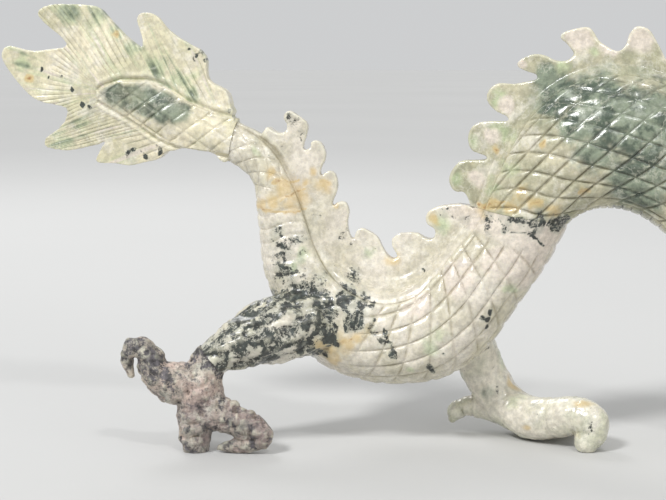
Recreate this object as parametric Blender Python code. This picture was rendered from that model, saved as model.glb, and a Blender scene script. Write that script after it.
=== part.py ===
"""Carved stone dragon built from pinned sections: tail fan, looped body, legs, head, horns and dowels.

Lengths are metres, +Z is up, +X runs from the tail to the snout and -Y is the near side.
The shape is laid out on a side drawing in millimetres, measured from the tail tip along the
ground, and place() stretches that drawing to the LENGTH, WIDTH and HEIGHT below.
"""
import math

import bmesh
import bpy
from mathutils import Matrix, Vector
from mathutils.geometry import delaunay_2d_cdt

# Overall sizes
LENGTH = 0.336
WIDTH = 0.072
HEIGHT = 0.131

# The drawing's own extents, millimetres
DRAWN_LENGTH = 336.0
DRAWN_WIDTH = 72.0
DRAWN_HEIGHT = 131.0

# Stone
LIMB_GIRTH = 1.0          # limb, toe and horn radius against the drawing
FAN_ROOT_THICKNESS = 0.0075
FAN_EDGE_THICKNESS = 0.0030
CREST_ROOT_THICKNESS = 0.0062
CREST_TIP_THICKNESS = 0.0026
CREST_SINK = 0.0050       # how deep the crest's root is buried in the back
CREST_HEIGHT = 0.0100
FAN_SPREAD = 0.0300       # distance from the ridge at which the fan is at its edge thickness
SEAM_GAP = 0.0004         # cement line between two stones
SEAT_CLEARANCE = 0.0006   # radial room round a limb in its counterbore

# Dowels: radius and length
BODY_DOWEL = (0.0020, 0.0200)
NECK_DOWEL = (0.0018, 0.0180)
LIMB_DOWEL = (0.0016, 0.0130)
FAN_DOWEL = (0.0015, 0.0130)
ANKLE_DOWEL = (0.0012, 0.0090)
HORN_DOWEL = (0.0009, 0.0070)
DOWEL_CLEARANCE = 0.0003
DOWEL_SPREAD = 0.25       # of the back-to-belly depth, each way from the middle

# Mesh finenesses
BODY_SIDES = 24
LIMB_SIDES = 14
STEPS = 2

# Body stations: back x, back z, belly x, belly z, half width
HIND_STATIONS = [
    (69.5, 98.0, 67.0, 86.5, 5.4),
    (75, 95.0, 72, 83.0, 5.8),
    (80, 92.5, 75.5, 80.5, 6.3),
    (86, 87.5, 78, 76.5, 7.0),
    (92, 78.0, 78.5, 70.0, 8.0),
    (96, 69.0, 79.5, 61.0, 9.2),
    (100, 60.5, 81, 51.0, 10.8),
    (105, 54.5, 86, 38.5, 12.6),
    (112, 51.5, 97, 24.0, 14.5),
    (119, 51.0, 115, 18.0, 15.5),
    (125, 52.5, 134, 19.5, 15.5),
    (130, 56.5, 147, 28.0, 15.0),
    (135, 61.5, 157, 42.0, 14.3),
    (140, 66.0, 165, 54.5, 13.8),
    (144, 71.5, 171.5, 67.0, 13.6),
    (145.5, 76.0, 173, 70.0, 13.6),
]
MID_STATIONS = [
    (143, 67.0, 170.5, 63.5, 13.6),
    (144, 71.5, 171.5, 67.0, 13.6),
    (148, 82.0, 174, 69.0, 14.0),
    (152, 90.0, 176.5, 70.2, 14.5),
    (159, 100.5, 179, 71.0, 15.2),
    (167, 108.0, 181.5, 71.3, 15.8),
    (178, 112.5, 184.5, 71.4, 16.0),
    (189, 112.5, 187.5, 71.0, 16.0),
    (199, 109.5, 191.5, 69.5, 15.8),
    (209, 103.5, 196, 66.5, 15.4),
    (219, 94.5, 201, 62.0, 15.0),
    (227, 83.0, 206.5, 56.0, 14.8),
    (230, 78.0, 209.5, 51.5, 14.8),
]
FORE_STATIONS = [
    (224, 87.5, 204, 59.0, 14.8),
    (227, 83.0, 206.5, 56.0, 14.8),
    (233, 73.0, 213, 47.0, 15.0),
    (238, 66.5, 222, 36.5, 15.5),
    (246, 63.0, 235, 29.0, 16.0),
    (253, 63.5, 250, 27.0, 16.0),
    (257, 69.0, 263, 33.0, 15.5),
    (259, 77.5, 271, 45.0, 14.5),
    (261, 87.5, 277, 59.5, 13.5),
    (262, 97.0, 280, 73.5, 12.5),
    (263, 101.0, 281, 78.0, 12.3),
]
HEAD_STATIONS = [
    (261.5, 92.5, 279, 69.0, 12.6),
    (262, 97.0, 280, 73.5, 12.5),
    (264.5, 106.0, 283, 83.0, 12.3),
    (270, 114.0, 287.5, 90.0, 12.6),
    (279, 119.5, 293, 93.5, 13.4),
    (290, 121.0, 299.5, 93.8, 14.0),
    (300, 115.5, 306, 93.2, 11.6),
    (310, 109.0, 313, 92.8, 9.6),
    (320, 108.0, 321, 92.8, 8.8),
    (328, 109.5, 328.5, 93.6, 8.6),
    (333, 106.5, 333, 96.0, 6.4),
    (336, 102.5, 336, 99.0, 2.4),
]
JAW_STATIONS = [
    (284, 99.0, 286, 86.0, 9.5),
    (294, 93.5, 294, 83.0, 9.0),
    (304, 88.5, 302, 80.0, 7.6),
    (314, 85.0, 311, 78.0, 6.6),
    (322, 84.5, 319, 77.5, 5.8),
    (327, 84.0, 326, 79.5, 3.4),
]
# Seams: back point and belly point of the cutting plane; the first point is on the tail side
FAN_SEAM = ((73, 96.2), (70.5, 84.2))
WAIST_SEAM = ((144, 71.5), (171.5, 67.0))
CHEST_SEAM = ((227, 83.0), (206.5, 56.0))
NECK_SEAM = ((262, 97.0), (280, 73.5))

# Tail fan: flame outline (x, z) and the tapering ridge along its middle
FAN_OUTLINE = [
    (72, 95), (71, 101), (69.5, 105), (65, 107.5), (63.5, 110.5), (63.5, 114.5), (62, 117), (59.5, 118.5),
    (55, 121), (51.5, 124), (49, 127), (46, 128.5), (43, 128), (42.5, 125.5), (44.5, 120), (43.5, 118),
    (38, 122.5), (33.5, 127), (31, 129.5), (28, 130.5), (20, 131), (15, 130.5), (12, 128.5), (14, 125.5),
    (20.5, 119), (15, 117.5), (8.5, 117), (2, 118.5), (0, 116.5), (0.5, 113.5), (3, 109.5), (7, 105),
    (11.5, 102), (18, 100.5), (20.5, 99.5), (20, 96.5), (17.5, 93.5), (14, 91), (13.5, 88.5), (16, 87.5),
    (21, 87), (26, 88), (30, 89), (32.5, 90.5), (30, 87), (29, 83.5), (34.5, 83), (39, 82.5),
    (44, 83.5), (48.5, 84.5), (52, 87), (55, 87.5), (60, 87.5), (65.5, 86.5), (70, 84.5),
]
FAN_RIDGE = [
    (76, 95.0, 74, 82.8, 5.8),
    (71, 97.5, 68.5, 85.0, 5.4),
    (64, 100.0, 61, 87.0, 5.2),
    (55, 105.0, 52, 89.5, 5.2),
    (45, 108.0, 43, 94.5, 4.8),
    (37, 108.0, 36, 99.0, 4.0),
    (31, 106.5, 30.5, 103.0, 2.8),
]
# Crest outlines (x, z): root, tooth tip, tooth tip, root, ...
HIND_CREST = [
    (82, 94.5), (85, 94), (88.5, 99), (92.5, 97), (94.5, 95), (92.5, 88),
    (96.5, 90), (99, 89), (100, 86), (97, 79.5), (101, 81.5), (103, 79.5), (100.5, 69),
    (104.5, 72), (106.5, 70), (106.5, 60.5), (110, 64), (113, 61), (119.5, 56),
    (119.5, 61), (122, 63.5), (125.5, 63.5), (128.5, 60.5), (129, 67), (131, 70), (135, 71.5), (139, 71),
    (142.5, 70),
]
MID_CREST = [
    (143, 73), (137.5, 76.5), (137, 79.5), (138.5, 83), (141, 85), (145, 85.5),
    (142.5, 89), (142.5, 92.5), (146, 97), (150, 97.5), (151, 98),
    (147.5, 102), (148, 106), (151, 108), (156, 108), (158.5, 108.5),
    (156, 112), (159.5, 116), (165, 115.5), (168.5, 115.5),
    (168.5, 120.5), (173, 122.5), (177, 122.5), (180, 119.5), (183.5, 117),
    (188, 122), (192, 122.5), (195, 118), (197.5, 113.5),
    (203, 118), (207, 117.5), (209.5, 113), (210.5, 106.5),
    (217, 109), (220.5, 107), (222, 102), (220.5, 96.5),
    (226.5, 97), (229.5, 94.5), (229.5, 90), (226.5, 84.5),
]
FORE_CREST = [
    (228.5, 83), (234.5, 83.5), (237, 80), (234.5, 73.5), (240.5, 73), (242, 69), (240, 65),
    (246, 67), (248.5, 65), (250, 62), (250, 67.5), (253, 70), (256, 69), (255.5, 74.5), (258, 78), (259.5, 77.5),
    (254.5, 82), (255.5, 87), (260.5, 87), (255.5, 91.5), (256, 96.5), (262, 97),
]
HEAD_CREST = [
    (261.5, 97), (256.5, 101), (257.5, 106), (263.5, 105.5), (259.5, 111), (261.5, 116), (269, 113),
    (268, 119), (272, 122.5), (277, 118),
]

# Limbs: x, y, z, radius along each tube; the first row of a separate limb is its seat
NEAR_THIGH = [
    (99, -3, 38, 11.2), (93, -8, 37, 10.8), (87.5, -12, 35.7, 9.9), (81, -15, 34, 8.9),
    (74, -18, 30.8, 6.7), (68.4, -19, 27.3, 5.2), (65, -19.6, 24.4, 5.2),
]
ANKLE = ((68.4, -19.0, 27.3), (-8.3, -1.6, -7.3))
NEAR_HIND_PALM = [
    (72, -18.3, 30.4, 5.2), (68.4, -19, 27.3, 5.2), (66, -20, 23, 5.9), (65, -20, 17, 6.4), (64.5, -20, 13, 6.0),
]
NEAR_HIND_TOES = [
    [(65, -20, 20.5, 5.4), (57, -21, 21, 6.6), (51, -22, 25, 5.2), (48.3, -22, 30, 4.2), (45.5, -22, 31.3, 3.2),
     (44, -22, 28.6, 2.3), (44.8, -22, 25.4, 1.0)],
    [(64, -20, 17, 5.8), (63.6, -20, 9, 5.5), (63.4, -20, 3.6, 4.8), (63.6, -20, 1.0, 4.0)],
    [(66, -20, 17, 5.4), (74.5, -21, 11.8, 4.7), (80.2, -21, 8.4, 5.0), (81.4, -21, 5.0, 4.4),
     (77.7, -21, 3.0, 3.0), (73.2, -21, 2.0, 2.0), (69.6, -21, 1.6, 0.9)],
]
FAR_HIND_LEG = [
    (140.3, 6, 35, 6.6), (142, 9, 30.8, 6.6), (143.7, 12, 26.6, 6.7), (146.5, 14, 19, 6.8), (151, 13, 12, 6.5),
    (155.5, 11, 8.5, 6.2),
]
FAR_HIND_TOES = [
    [(152, 12.5, 9.5, 6.2), (161, 7, 5.4, 6.2), (168, 2.5, 5.2, 5.8), (175, -1, 6.6, 5.3), (179.3, -3.2, 5.8, 4.6),
     (179.2, -4, 3.0, 2.8), (177.8, -4.6, 1.2, 1.3)],
    [(152, 13, 8.5, 5.6), (161, 14, 5.0, 5.4), (168.5, 14, 5.2, 4.8), (174, 13.5, 4.6, 4.0), (176.5, 13.5, 1.8, 1.8)],
    [(153, 12, 8, 5.2), (146, 14, 8, 3.9), (140.5, 14.5, 7.8, 3.0), (138, 14.5, 5.8, 2.8), (137, 14.5, 3.8, 1.5)],
]
FORE_LEG = [
    (246, 7.5, 46, 8.0), (244.7, 12.5, 41.5, 8.0), (242.8, 19.3, 35, 8.2), (239, 22, 27.5, 7.4), (241.5, 22.5, 18.5, 6.2),
    (247.5, 23, 11.5, 6.0), (251.5, 23, 8.2, 6.0),
]
FORE_TOES = [
    [(249.5, 23, 8.6, 5.8), (257, 23.5, 4.8, 5.5), (264, 24, 5.8, 4.8), (269, 24, 4.8, 3.6), (271, 24, 1.6, 1.7)],
    [(249.5, 22, 8.6, 5.6), (256.5, 17.5, 4.8, 5.1), (262.5, 14, 5.4, 4.3), (267, 12.5, 4.2, 3.2),
     (269, 12, 1.5, 1.6)],
    [(249.5, 24, 8.6, 5.4), (255, 29, 4.6, 4.7), (260, 32, 4.8, 3.8), (263.5, 33.5, 3.6, 2.7), (265, 34.2, 1.5, 1.5)],
    [(249, 23, 8.2, 4.8), (241, 23.5, 6.2, 3.8), (235.5, 24, 5.0, 2.9), (232.5, 24, 1.8, 1.5)],
]
FAR_FORE_STEP = 9.0       # how far the far fore leg stands ahead of the near one, drawing millimetres
HORN = [
    (283.5, 5.6, 117, 3.4), (281, 6.9, 122, 3.4), (276.5, 8.4, 126, 3.2), (269, 10, 128, 2.8), (260.5, 11, 127.6, 2.2),
    (253.5, 11.6, 129, 1.1),
]
BROW = [(285, 8.5, 118, 3.4), (292, 9.5, 118.5, 4.2), (299.5, 8.6, 114, 3.4), (304, 7, 110.5, 2.4)]
EYE = (296, 10.3, 111.5, 4.2)
NOSTRIL = (330, 4.4, 106.5, 3.8)
CHEEK_LOCKS = [
    [(286, 9, 100, 6.0), (276, 13, 103, 5.0), (267, 14.5, 109, 3.6), (259, 15, 113, 1.2)],
    [(286, 9, 96, 6.0), (277, 13.5, 95.5, 5.0), (268, 15, 99.5, 3.6), (260, 15.5, 103, 1.2)],
    [(288, 8, 92, 5.6), (283, 12.5, 89, 4.6), (277, 14.5, 89, 3.4), (271, 15.5, 92, 1.2)],
]
BEARD = [(318, 0, 80.5, 4.6), (315.5, 0, 75, 4.0), (309.5, 0, 71, 3.0), (303, 0, 70, 1.1)]

PALE_STONE = (0.68, 0.68, 0.58)
COLOURS = {
    "tail_fan": (0.72, 0.74, 0.60),
    "hind_body": (0.66, 0.62, 0.52),
    "near_hind_foot": (0.45, 0.38, 0.33),
    "far_hind_leg": (0.74, 0.73, 0.64),
    "mid_body": (0.38, 0.40, 0.25),
    "near_horn": (0.70, 0.68, 0.55),
    "far_horn": (0.70, 0.68, 0.55),
}
STEEL = (0.48, 0.47, 0.45)

STRETCH = Vector((LENGTH / DRAWN_LENGTH, WIDTH / DRAWN_WIDTH, HEIGHT / DRAWN_HEIGHT))


def place(x, y, z):
    """A point of the drawing, in metres."""
    return Vector((x * STRETCH.x, y * STRETCH.y, z * STRETCH.z))


def interpolate(rows, steps=STEPS):
    """Catmull-Rom rows between the given rows, each row a tuple of numbers."""
    ends = [tuple(2 * a - b for a, b in zip(rows[0], rows[1]))]
    ends += rows
    ends.append(tuple(2 * a - b for a, b in zip(rows[-1], rows[-2])))
    result = []
    for p, q, r, s in zip(ends, ends[1:], ends[2:], ends[3:]):
        for step in range(steps):
            t = step / steps
            result.append(tuple(
                0.5 * (2 * b + (c - a) * t + (2 * a - 5 * b + 4 * c - d) * t * t
                       + (3 * b - a - 3 * c + d) * t ** 3)
                for a, b, c, d in zip(p, q, r, s)))
    result.append(tuple(rows[-1]))
    return result


def make_object(name, mesh_data):
    """Link a bmesh as a named object with outward normals."""
    bmesh.ops.recalc_face_normals(mesh_data, faces=mesh_data.faces)
    mesh = bpy.data.meshes.new(name)
    mesh_data.to_mesh(mesh)
    mesh_data.free()
    item = bpy.data.objects.new(name, mesh)
    bpy.context.scene.collection.objects.link(item)
    return item


def skin(name, rings):
    """A closed tube through equal rings of points, with flat ends."""
    mesh = bmesh.new()
    loops = [[mesh.verts.new(point) for point in ring] for ring in rings]
    for low, high in zip(loops, loops[1:]):
        for i in range(len(low)):
            j = (i + 1) % len(low)
            mesh.faces.new((low[i], low[j], high[j], high[i]))
    mesh.faces.new(loops[0][::-1])
    mesh.faces.new(loops[-1])
    return make_object(name, mesh)


def body(name, stations, sides=BODY_SIDES):
    """A body length lofted through its back and belly stations, a little narrower along the back."""
    rings = []
    for back_x, back_z, belly_x, belly_z, half in interpolate(stations):
        back = place(back_x, 0, back_z)
        belly = place(belly_x, 0, belly_z)
        rise = (back - belly) / 2
        ring = []
        for i in range(sides):
            turn = math.tau * i / sides
            across = half * math.sin(turn) * (1 - 0.10 * math.cos(turn))
            ring.append((back + belly) / 2 + rise * math.cos(turn) + place(0, across, 0))
        rings.append(ring)
    return skin(name, rings)


def limb(name, rows, sides=LIMB_SIDES, rounded=True):
    """A round tube along rows of (x, y, z, radius); a rounded one ends in a dome."""
    rows = interpolate(rows)
    centres = [place(*row[:3]) for row in rows]
    radii = [row[3] * 0.001 * LIMB_GIRTH for row in rows]
    if rounded:
        ahead = (centres[-1] - centres[-2]).normalized()
        tip, radius = centres[-1], radii[-1]
        centres += [tip + ahead * radius * 0.5, tip + ahead * radius * 0.85]
        radii += [radius * 0.86, radius * 0.5]
    rings = []
    side = None
    for i, centre in enumerate(centres):
        before = centres[max(i - 1, 0)]
        after = centres[min(i + 1, len(centres) - 1)]
        along = (after - before).normalized()
        if side is None:
            side = along.orthogonal().normalized()
        side = (side - along * side.dot(along)).normalized()
        up = along.cross(side)
        rings.append([
            centre + (side * math.cos(math.tau * k / sides) + up * math.sin(math.tau * k / sides)) * radii[i]
            for k in range(sides)])
    return skin(name, rings)


def plate(name, outline, root, tip, depth_of):
    """A flat plate on the drawing's plane; its thickness falls from root to tip with depth_of(point)."""
    flat = [Vector((x, z)) for x, z in outline]
    count = len(flat)
    rim = [(i, (i + 1) % count) for i in range(count)]
    triangles = delaunay_2d_cdt(flat, rim, [list(range(count))], 1, 1e-4)[2]
    mesh = bmesh.new()
    near, far = [], []
    for x, z in outline:
        point = place(x, 0, z)
        half = Vector((0, (tip + (root - tip) * depth_of(point)) / 2, 0))
        near.append(mesh.verts.new(point - half))
        far.append(mesh.verts.new(point + half))
    for triangle in triangles:
        mesh.faces.new([near[i] for i in triangle])
        mesh.faces.new([far[i] for i in reversed(triangle)])
    for i, j in rim:
        mesh.faces.new((near[i], far[i], far[j], near[j]))
    return make_object(name, mesh)


def combine(target, tool, operation):
    """Apply one exact Boolean and remove the tool object."""
    modifier = target.modifiers.new(operation, "BOOLEAN")
    modifier.operation = operation
    modifier.solver = "EXACT"
    modifier.object = tool
    tool.hide_render = True
    tool.display_type = "WIRE"
    depsgraph = bpy.context.evaluated_depsgraph_get()
    mesh = bpy.data.meshes.new_from_object(target.evaluated_get(depsgraph))
    target.modifiers.clear()
    old = target.data
    target.data = mesh
    mesh.name = target.name
    bpy.data.meshes.remove(old)
    bpy.data.objects.remove(tool)
    return target


def join(target, *tools):
    for tool in tools:
        combine(target, tool, "UNION")
    return target


def cut(target, *tools):
    for tool in tools:
        combine(target, tool, "DIFFERENCE")
    return target


def frame_at(point, along):
    """A transform with its origin at point and +Z along the given direction."""
    turn = along.to_track_quat("Z", "Y").to_matrix().to_4x4()
    return Matrix.Translation(point) @ turn


def rod(name, point, along, low, high, radius, sides=20):
    """A cylinder from low to high along a direction through point."""
    mesh = bmesh.new()
    bmesh.ops.create_cone(
        mesh, cap_ends=True, segments=sides, radius1=radius, radius2=radius, depth=high - low,
        matrix=frame_at(point, along) @ Matrix.Translation((0, 0, (low + high) / 2)))
    return make_object(name, mesh)


def slab(point, along, side, thick):
    """A square block standing on a plane, used to cut a stone off there."""
    mesh = bmesh.new()
    size = Matrix.Diagonal((side, side, thick, 1.0))
    bmesh.ops.create_cube(mesh, size=1.0, matrix=(
        frame_at(point, along) @ Matrix.Translation((0, 0, thick / 2)) @ size))
    return make_object("cutter", mesh)


def seam_plane(seam, ahead):
    """Middle point of a seam, its direction towards the drawn point ahead, and its depth vector."""
    back = place(seam[0][0], 0, seam[0][1])
    belly = place(seam[1][0], 0, seam[1][1])
    middle = (back + belly) / 2
    along = (back - belly).cross(Vector((0, 1, 0))).normalized()
    if along.dot(place(ahead[0], 0, ahead[1]) - middle) < 0:
        along = -along
    return middle, along, back - belly


def trim(item, plane, keep):
    """Cut a stone off at half the cement gap from a joint plane, keeping what is ahead or behind."""
    middle, along, depth = plane
    side = depth.length * 2.4
    way = -along if keep == "ahead" else along
    return cut(item, slab(middle - way * SEAM_GAP / 2, way, side, side / 3))


def dowel(name, stones, point, along, size):
    """A steel dowel across a joint, with a clearance socket in the stone on each side."""
    radius, length = size
    for stone in stones:
        cut(stone, rod("cutter", point, along, -length / 2 - DOWEL_CLEARANCE, length / 2 + DOWEL_CLEARANCE,
                       radius + DOWEL_CLEARANCE))
    return rod(name, point, along, -length / 2, length / 2, radius)


def seat(stone, rows, reach=0.03):
    """Counterbore a flat seat for a limb into a stone; returns the seat's point and outward direction."""
    point = place(*rows[0][:3])
    along = (place(*rows[1][:3]) - point).normalized()
    radius = rows[0][3] * 0.001 * LIMB_GIRTH + SEAT_CLEARANCE
    cut(stone, rod("cutter", point, along, 0, reach, radius, sides=32))
    return point, along


def off_seat(rows):
    """The same limb rows with the first one lifted off its seat by the cement gap."""
    point = Vector(rows[0][:3])
    along = (Vector(rows[1][:3]) - point).normalized()
    return [tuple(point + along * SEAM_GAP * 1000.0) + (rows[0][3],)] + list(rows[1:])


def stand(rows, hand=-1, step=0.0):
    """Limb rows on the far side (hand 1) or the near side (hand -1), moved a step along the drawing."""
    return [(x + step, y * hand, z, radius) for x, y, z, radius in rows]


def ball(name, spot):
    mesh = bmesh.new()
    bmesh.ops.create_icosphere(mesh, subdivisions=2, radius=spot[3] * 0.001 * LIMB_GIRTH,
                               matrix=Matrix.Translation(place(*spot[:3])))
    return make_object(name, mesh)


def nearest(point, line):
    return min((point - spot).length for spot in line)


def crest(outline, stations):
    """A toothed crest rooted in the back of a body length, thick along the back and thin at its points."""
    line = [place(row[0], 0, row[1]) for row in interpolate(stations, 4)]
    buried = []
    for back_x, back_z, belly_x, belly_z, _half in stations:
        down = Vector((belly_x - back_x, belly_z - back_z)).normalized() * CREST_SINK * 1000.0
        buried.append((back_x + down.x, back_z + down.y))
    return plate("crest", list(outline) + buried[::-1], CREST_ROOT_THICKNESS, CREST_TIP_THICKNESS,
                 lambda point: max(0.0, 1.0 - nearest(point, line) / CREST_HEIGHT))


def floor_cut(item):
    """Flatten the soles on the ground plane."""
    low = min(vert.co.z for vert in item.data.vertices)
    if low < 0:
        middle = sum((vert.co for vert in item.data.vertices), Vector()) / len(item.data.vertices)
        cut(item, slab(Vector((middle.x, middle.y, 0)), Vector((0, 0, -1)), 0.2, 0.05))
    return item


def paint(item, colour, metallic, roughness):
    material = bpy.data.materials.new(item.name)
    material.use_nodes = True
    shader = material.node_tree.nodes["Principled BSDF"]
    shader.inputs["Base Color"].default_value = (*colour, 1.0)
    shader.inputs["Metallic"].default_value = metallic
    shader.inputs["Roughness"].default_value = roughness
    item.data.materials.clear()
    item.data.materials.append(material)
    for polygon in item.data.polygons:
        polygon.use_smooth = True


def build_tail(stones):
    """Tail fan and hind body, up to the waist seam."""
    fan_plane = seam_plane(FAN_SEAM, FAN_OUTLINE[14])
    fan = body("tail_fan", FAN_RIDGE, 16)
    middle_line = [(place(r[0], 0, r[1]) + place(r[2], 0, r[3])) / 2 for r in interpolate(FAN_RIDGE, 4)]
    blade = plate("blade", FAN_OUTLINE, FAN_ROOT_THICKNESS, FAN_EDGE_THICKNESS,
                  lambda point: max(0.0, 1.0 - nearest(point, middle_line) / FAN_SPREAD))
    join(fan, blade)
    stones["tail_fan"] = trim(fan, fan_plane, "ahead")

    hind = body("hind_body", HIND_STATIONS)
    join(hind, crest(HIND_CREST, HIND_STATIONS[2:-1]), limb("thigh", NEAR_THIGH, rounded=False))
    trim(hind, fan_plane, "behind")
    trim(hind, seam_plane(WAIST_SEAM, MID_STATIONS[4]), "behind")
    stones["hind_body"] = hind
    return fan_plane


def build_hind_limbs(stones, dowels):
    """Near hind foot on its ankle plane and far hind leg in its seat."""
    ankle_point = place(*ANKLE[0])
    ankle_along = place(*ANKLE[1]).normalized()
    ankle_plane = (ankle_point, ankle_along, Vector((0.010, 0, 0)))
    trim(stones["hind_body"], ankle_plane, "behind")
    foot = limb("near_hind_foot", NEAR_HIND_PALM)
    join(foot, *[limb("toe", toe) for toe in NEAR_HIND_TOES])
    trim(foot, ankle_plane, "ahead")
    stones["near_hind_foot"] = floor_cut(foot)
    dowels["near_hind_foot_pin"] = dowel(
        "near_hind_foot_pin", [stones["hind_body"], foot], ankle_point, ankle_along, ANKLE_DOWEL)

    point, along = seat(stones["hind_body"], FAR_HIND_LEG)
    leg = limb("far_hind_leg", off_seat(FAR_HIND_LEG))
    join(leg, *[limb("toe", toe) for toe in FAR_HIND_TOES])
    stones["far_hind_leg"] = floor_cut(leg)
    dowels["far_hind_leg_pin"] = dowel(
        "far_hind_leg_pin", [stones["hind_body"], leg], point, along, LIMB_DOWEL)


def build_front(stones, dowels):
    """Mid body, fore body and the two fore legs."""
    mid = body("mid_body", MID_STATIONS)
    join(mid, crest(MID_CREST, MID_STATIONS[1:-1]))
    trim(mid, seam_plane(WAIST_SEAM, MID_STATIONS[4]), "ahead")
    trim(mid, seam_plane(CHEST_SEAM, FORE_STATIONS[3]), "behind")
    stones["mid_body"] = mid

    fore = body("fore_body", FORE_STATIONS)
    join(fore, crest(FORE_CREST, FORE_STATIONS[1:-1]))
    trim(fore, seam_plane(CHEST_SEAM, FORE_STATIONS[3]), "ahead")
    trim(fore, seam_plane(NECK_SEAM, HEAD_STATIONS[5]), "behind")
    stones["fore_body"] = fore

    for side, step in (("near", 0.0), ("far", FAR_FORE_STEP)):
        hand = -1 if side == "near" else 1
        rows = stand(FORE_LEG, hand, step)
        point, along = seat(fore, rows)
        leg = limb(f"{side}_fore_leg", off_seat(rows))
        join(leg, *[limb("toe", stand(toe, hand, step)) for toe in FORE_TOES])
        stones[f"{side}_fore_leg"] = floor_cut(leg)
        name = f"{side}_fore_leg_pin"
        dowels[name] = dowel(name, [fore, leg], point, along, LIMB_DOWEL)


def build_head(stones, dowels):
    """Head with its jaw, brows, eyes, cheek locks and beard, and the two horns."""
    head = body("head", HEAD_STATIONS, 20)
    tools = [body("jaw", JAW_STATIONS, 16), crest(HEAD_CREST, HEAD_STATIONS[1:5]), limb("beard", BEARD)]
    for lock in [BROW] + CHEEK_LOCKS:
        tools += [limb("lock", lock, 10), limb("lock", stand(lock), 10)]
    for spot in (EYE, NOSTRIL):
        tools += [ball("bead", spot), ball("bead", stand([spot])[0])]
    join(head, *tools)
    trim(head, seam_plane(NECK_SEAM, HEAD_STATIONS[5]), "ahead")
    stones["head"] = head
    for side, rows in (("near", stand(HORN)), ("far", HORN)):
        point, along = seat(head, rows, 0.012)
        horn = limb(f"{side}_horn", off_seat(rows), 12)
        stones[f"{side}_horn"] = horn
        name = f"{side}_horn_pin"
        dowels[name] = dowel(name, [head, horn], point, along, HORN_DOWEL)


def pin_body(stones, dowels, fan_plane):
    """Dowels through the seams across the body: one at the fan and neck, two at the waist and chest."""
    dowels["tail_fan_pin"] = dowel(
        "tail_fan_pin", [stones["tail_fan"], stones["hind_body"]], fan_plane[0], fan_plane[1], FAN_DOWEL)
    joints = (
        ("waist", WAIST_SEAM, MID_STATIONS[4], "hind_body", "mid_body"),
        ("chest", CHEST_SEAM, FORE_STATIONS[3], "mid_body", "fore_body"),
    )
    for name, seam, ahead, first, second in joints:
        middle, along, depth = seam_plane(seam, ahead)
        for label, way in (("back", DOWEL_SPREAD), ("belly", -DOWEL_SPREAD)):
            full = f"{name}_pin_{label}"
            dowels[full] = dowel(full, [stones[first], stones[second]], middle + depth * way, along, BODY_DOWEL)
    middle, along, _depth = seam_plane(NECK_SEAM, HEAD_STATIONS[5])
    dowels["neck_pin"] = dowel("neck_pin", [stones["fore_body"], stones["head"]], middle, along, NECK_DOWEL)


def centre(items):
    """Put the middle of the whole part's footprint at the origin and its soles on the ground."""
    points = [vert.co for item in items for vert in item.data.vertices]
    low = Vector([min(point[i] for point in points) for i in range(3)])
    high = Vector([max(point[i] for point in points) for i in range(3)])
    shift = Vector((-(low.x + high.x) / 2, -(low.y + high.y) / 2, -low.z))
    for item in items:
        item.data.transform(Matrix.Translation(shift))


def main():
    for item in list(bpy.data.objects):
        bpy.data.objects.remove(item)
    stones, dowels = {}, {}
    fan_plane = build_tail(stones)
    build_hind_limbs(stones, dowels)
    build_front(stones, dowels)
    build_head(stones, dowels)
    pin_body(stones, dowels, fan_plane)
    for name, item in stones.items():
        paint(item, COLOURS.get(name, PALE_STONE), 0.0, 0.35)
    for item in dowels.values():
        paint(item, STEEL, 1.0, 0.4)
    centre(list(stones.values()) + list(dowels.values()))


main()
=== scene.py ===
"""Looks of a carved stone dragon: flame tail, scaled looped body, toothed crest, clawed legs and head.

Shapes are laid out on a side drawing in millimetres, measured from the tail tip along the ground
with Y across the body, and drawn_to_frame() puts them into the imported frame's box in metres.
"""
import math

import bmesh
import bpy
import numpy as np
from bpy.props import FloatProperty, FloatVectorProperty, PointerProperty
from mathutils import Matrix, Vector
from mathutils.geometry import delaunay_2d_cdt


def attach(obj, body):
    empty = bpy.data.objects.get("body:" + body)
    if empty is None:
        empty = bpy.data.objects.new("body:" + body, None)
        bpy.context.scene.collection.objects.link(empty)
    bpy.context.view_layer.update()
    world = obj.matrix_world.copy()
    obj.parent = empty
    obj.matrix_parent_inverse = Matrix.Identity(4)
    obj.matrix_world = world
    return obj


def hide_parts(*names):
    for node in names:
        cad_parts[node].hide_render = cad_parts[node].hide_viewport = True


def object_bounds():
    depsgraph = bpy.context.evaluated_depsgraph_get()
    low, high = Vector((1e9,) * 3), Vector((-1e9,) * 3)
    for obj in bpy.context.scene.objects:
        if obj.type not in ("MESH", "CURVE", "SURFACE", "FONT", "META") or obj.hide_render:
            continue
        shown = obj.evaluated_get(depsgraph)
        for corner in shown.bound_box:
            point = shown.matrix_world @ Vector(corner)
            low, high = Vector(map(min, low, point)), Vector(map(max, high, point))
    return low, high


bl_info = {
    "name": "Carved Stone Dragon",
    "version": (1, 0, 0),
    "blender": (4, 5, 0),
    "location": "3D View > Sidebar > Stone Dragon",
    "description": "Builds a pieced and polished hardstone dragon around its packed frame",
    "category": "Add Mesh",
}

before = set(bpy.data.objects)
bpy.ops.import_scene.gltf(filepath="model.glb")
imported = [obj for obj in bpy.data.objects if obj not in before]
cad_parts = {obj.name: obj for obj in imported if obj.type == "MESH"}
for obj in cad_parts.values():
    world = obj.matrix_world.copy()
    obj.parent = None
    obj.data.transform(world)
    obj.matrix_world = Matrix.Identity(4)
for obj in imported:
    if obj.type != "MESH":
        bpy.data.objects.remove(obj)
CAD_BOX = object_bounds()
CAD_LOW = np.array(CAD_BOX[0])
CAD_HIGH = np.array(CAD_BOX[1])

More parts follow.
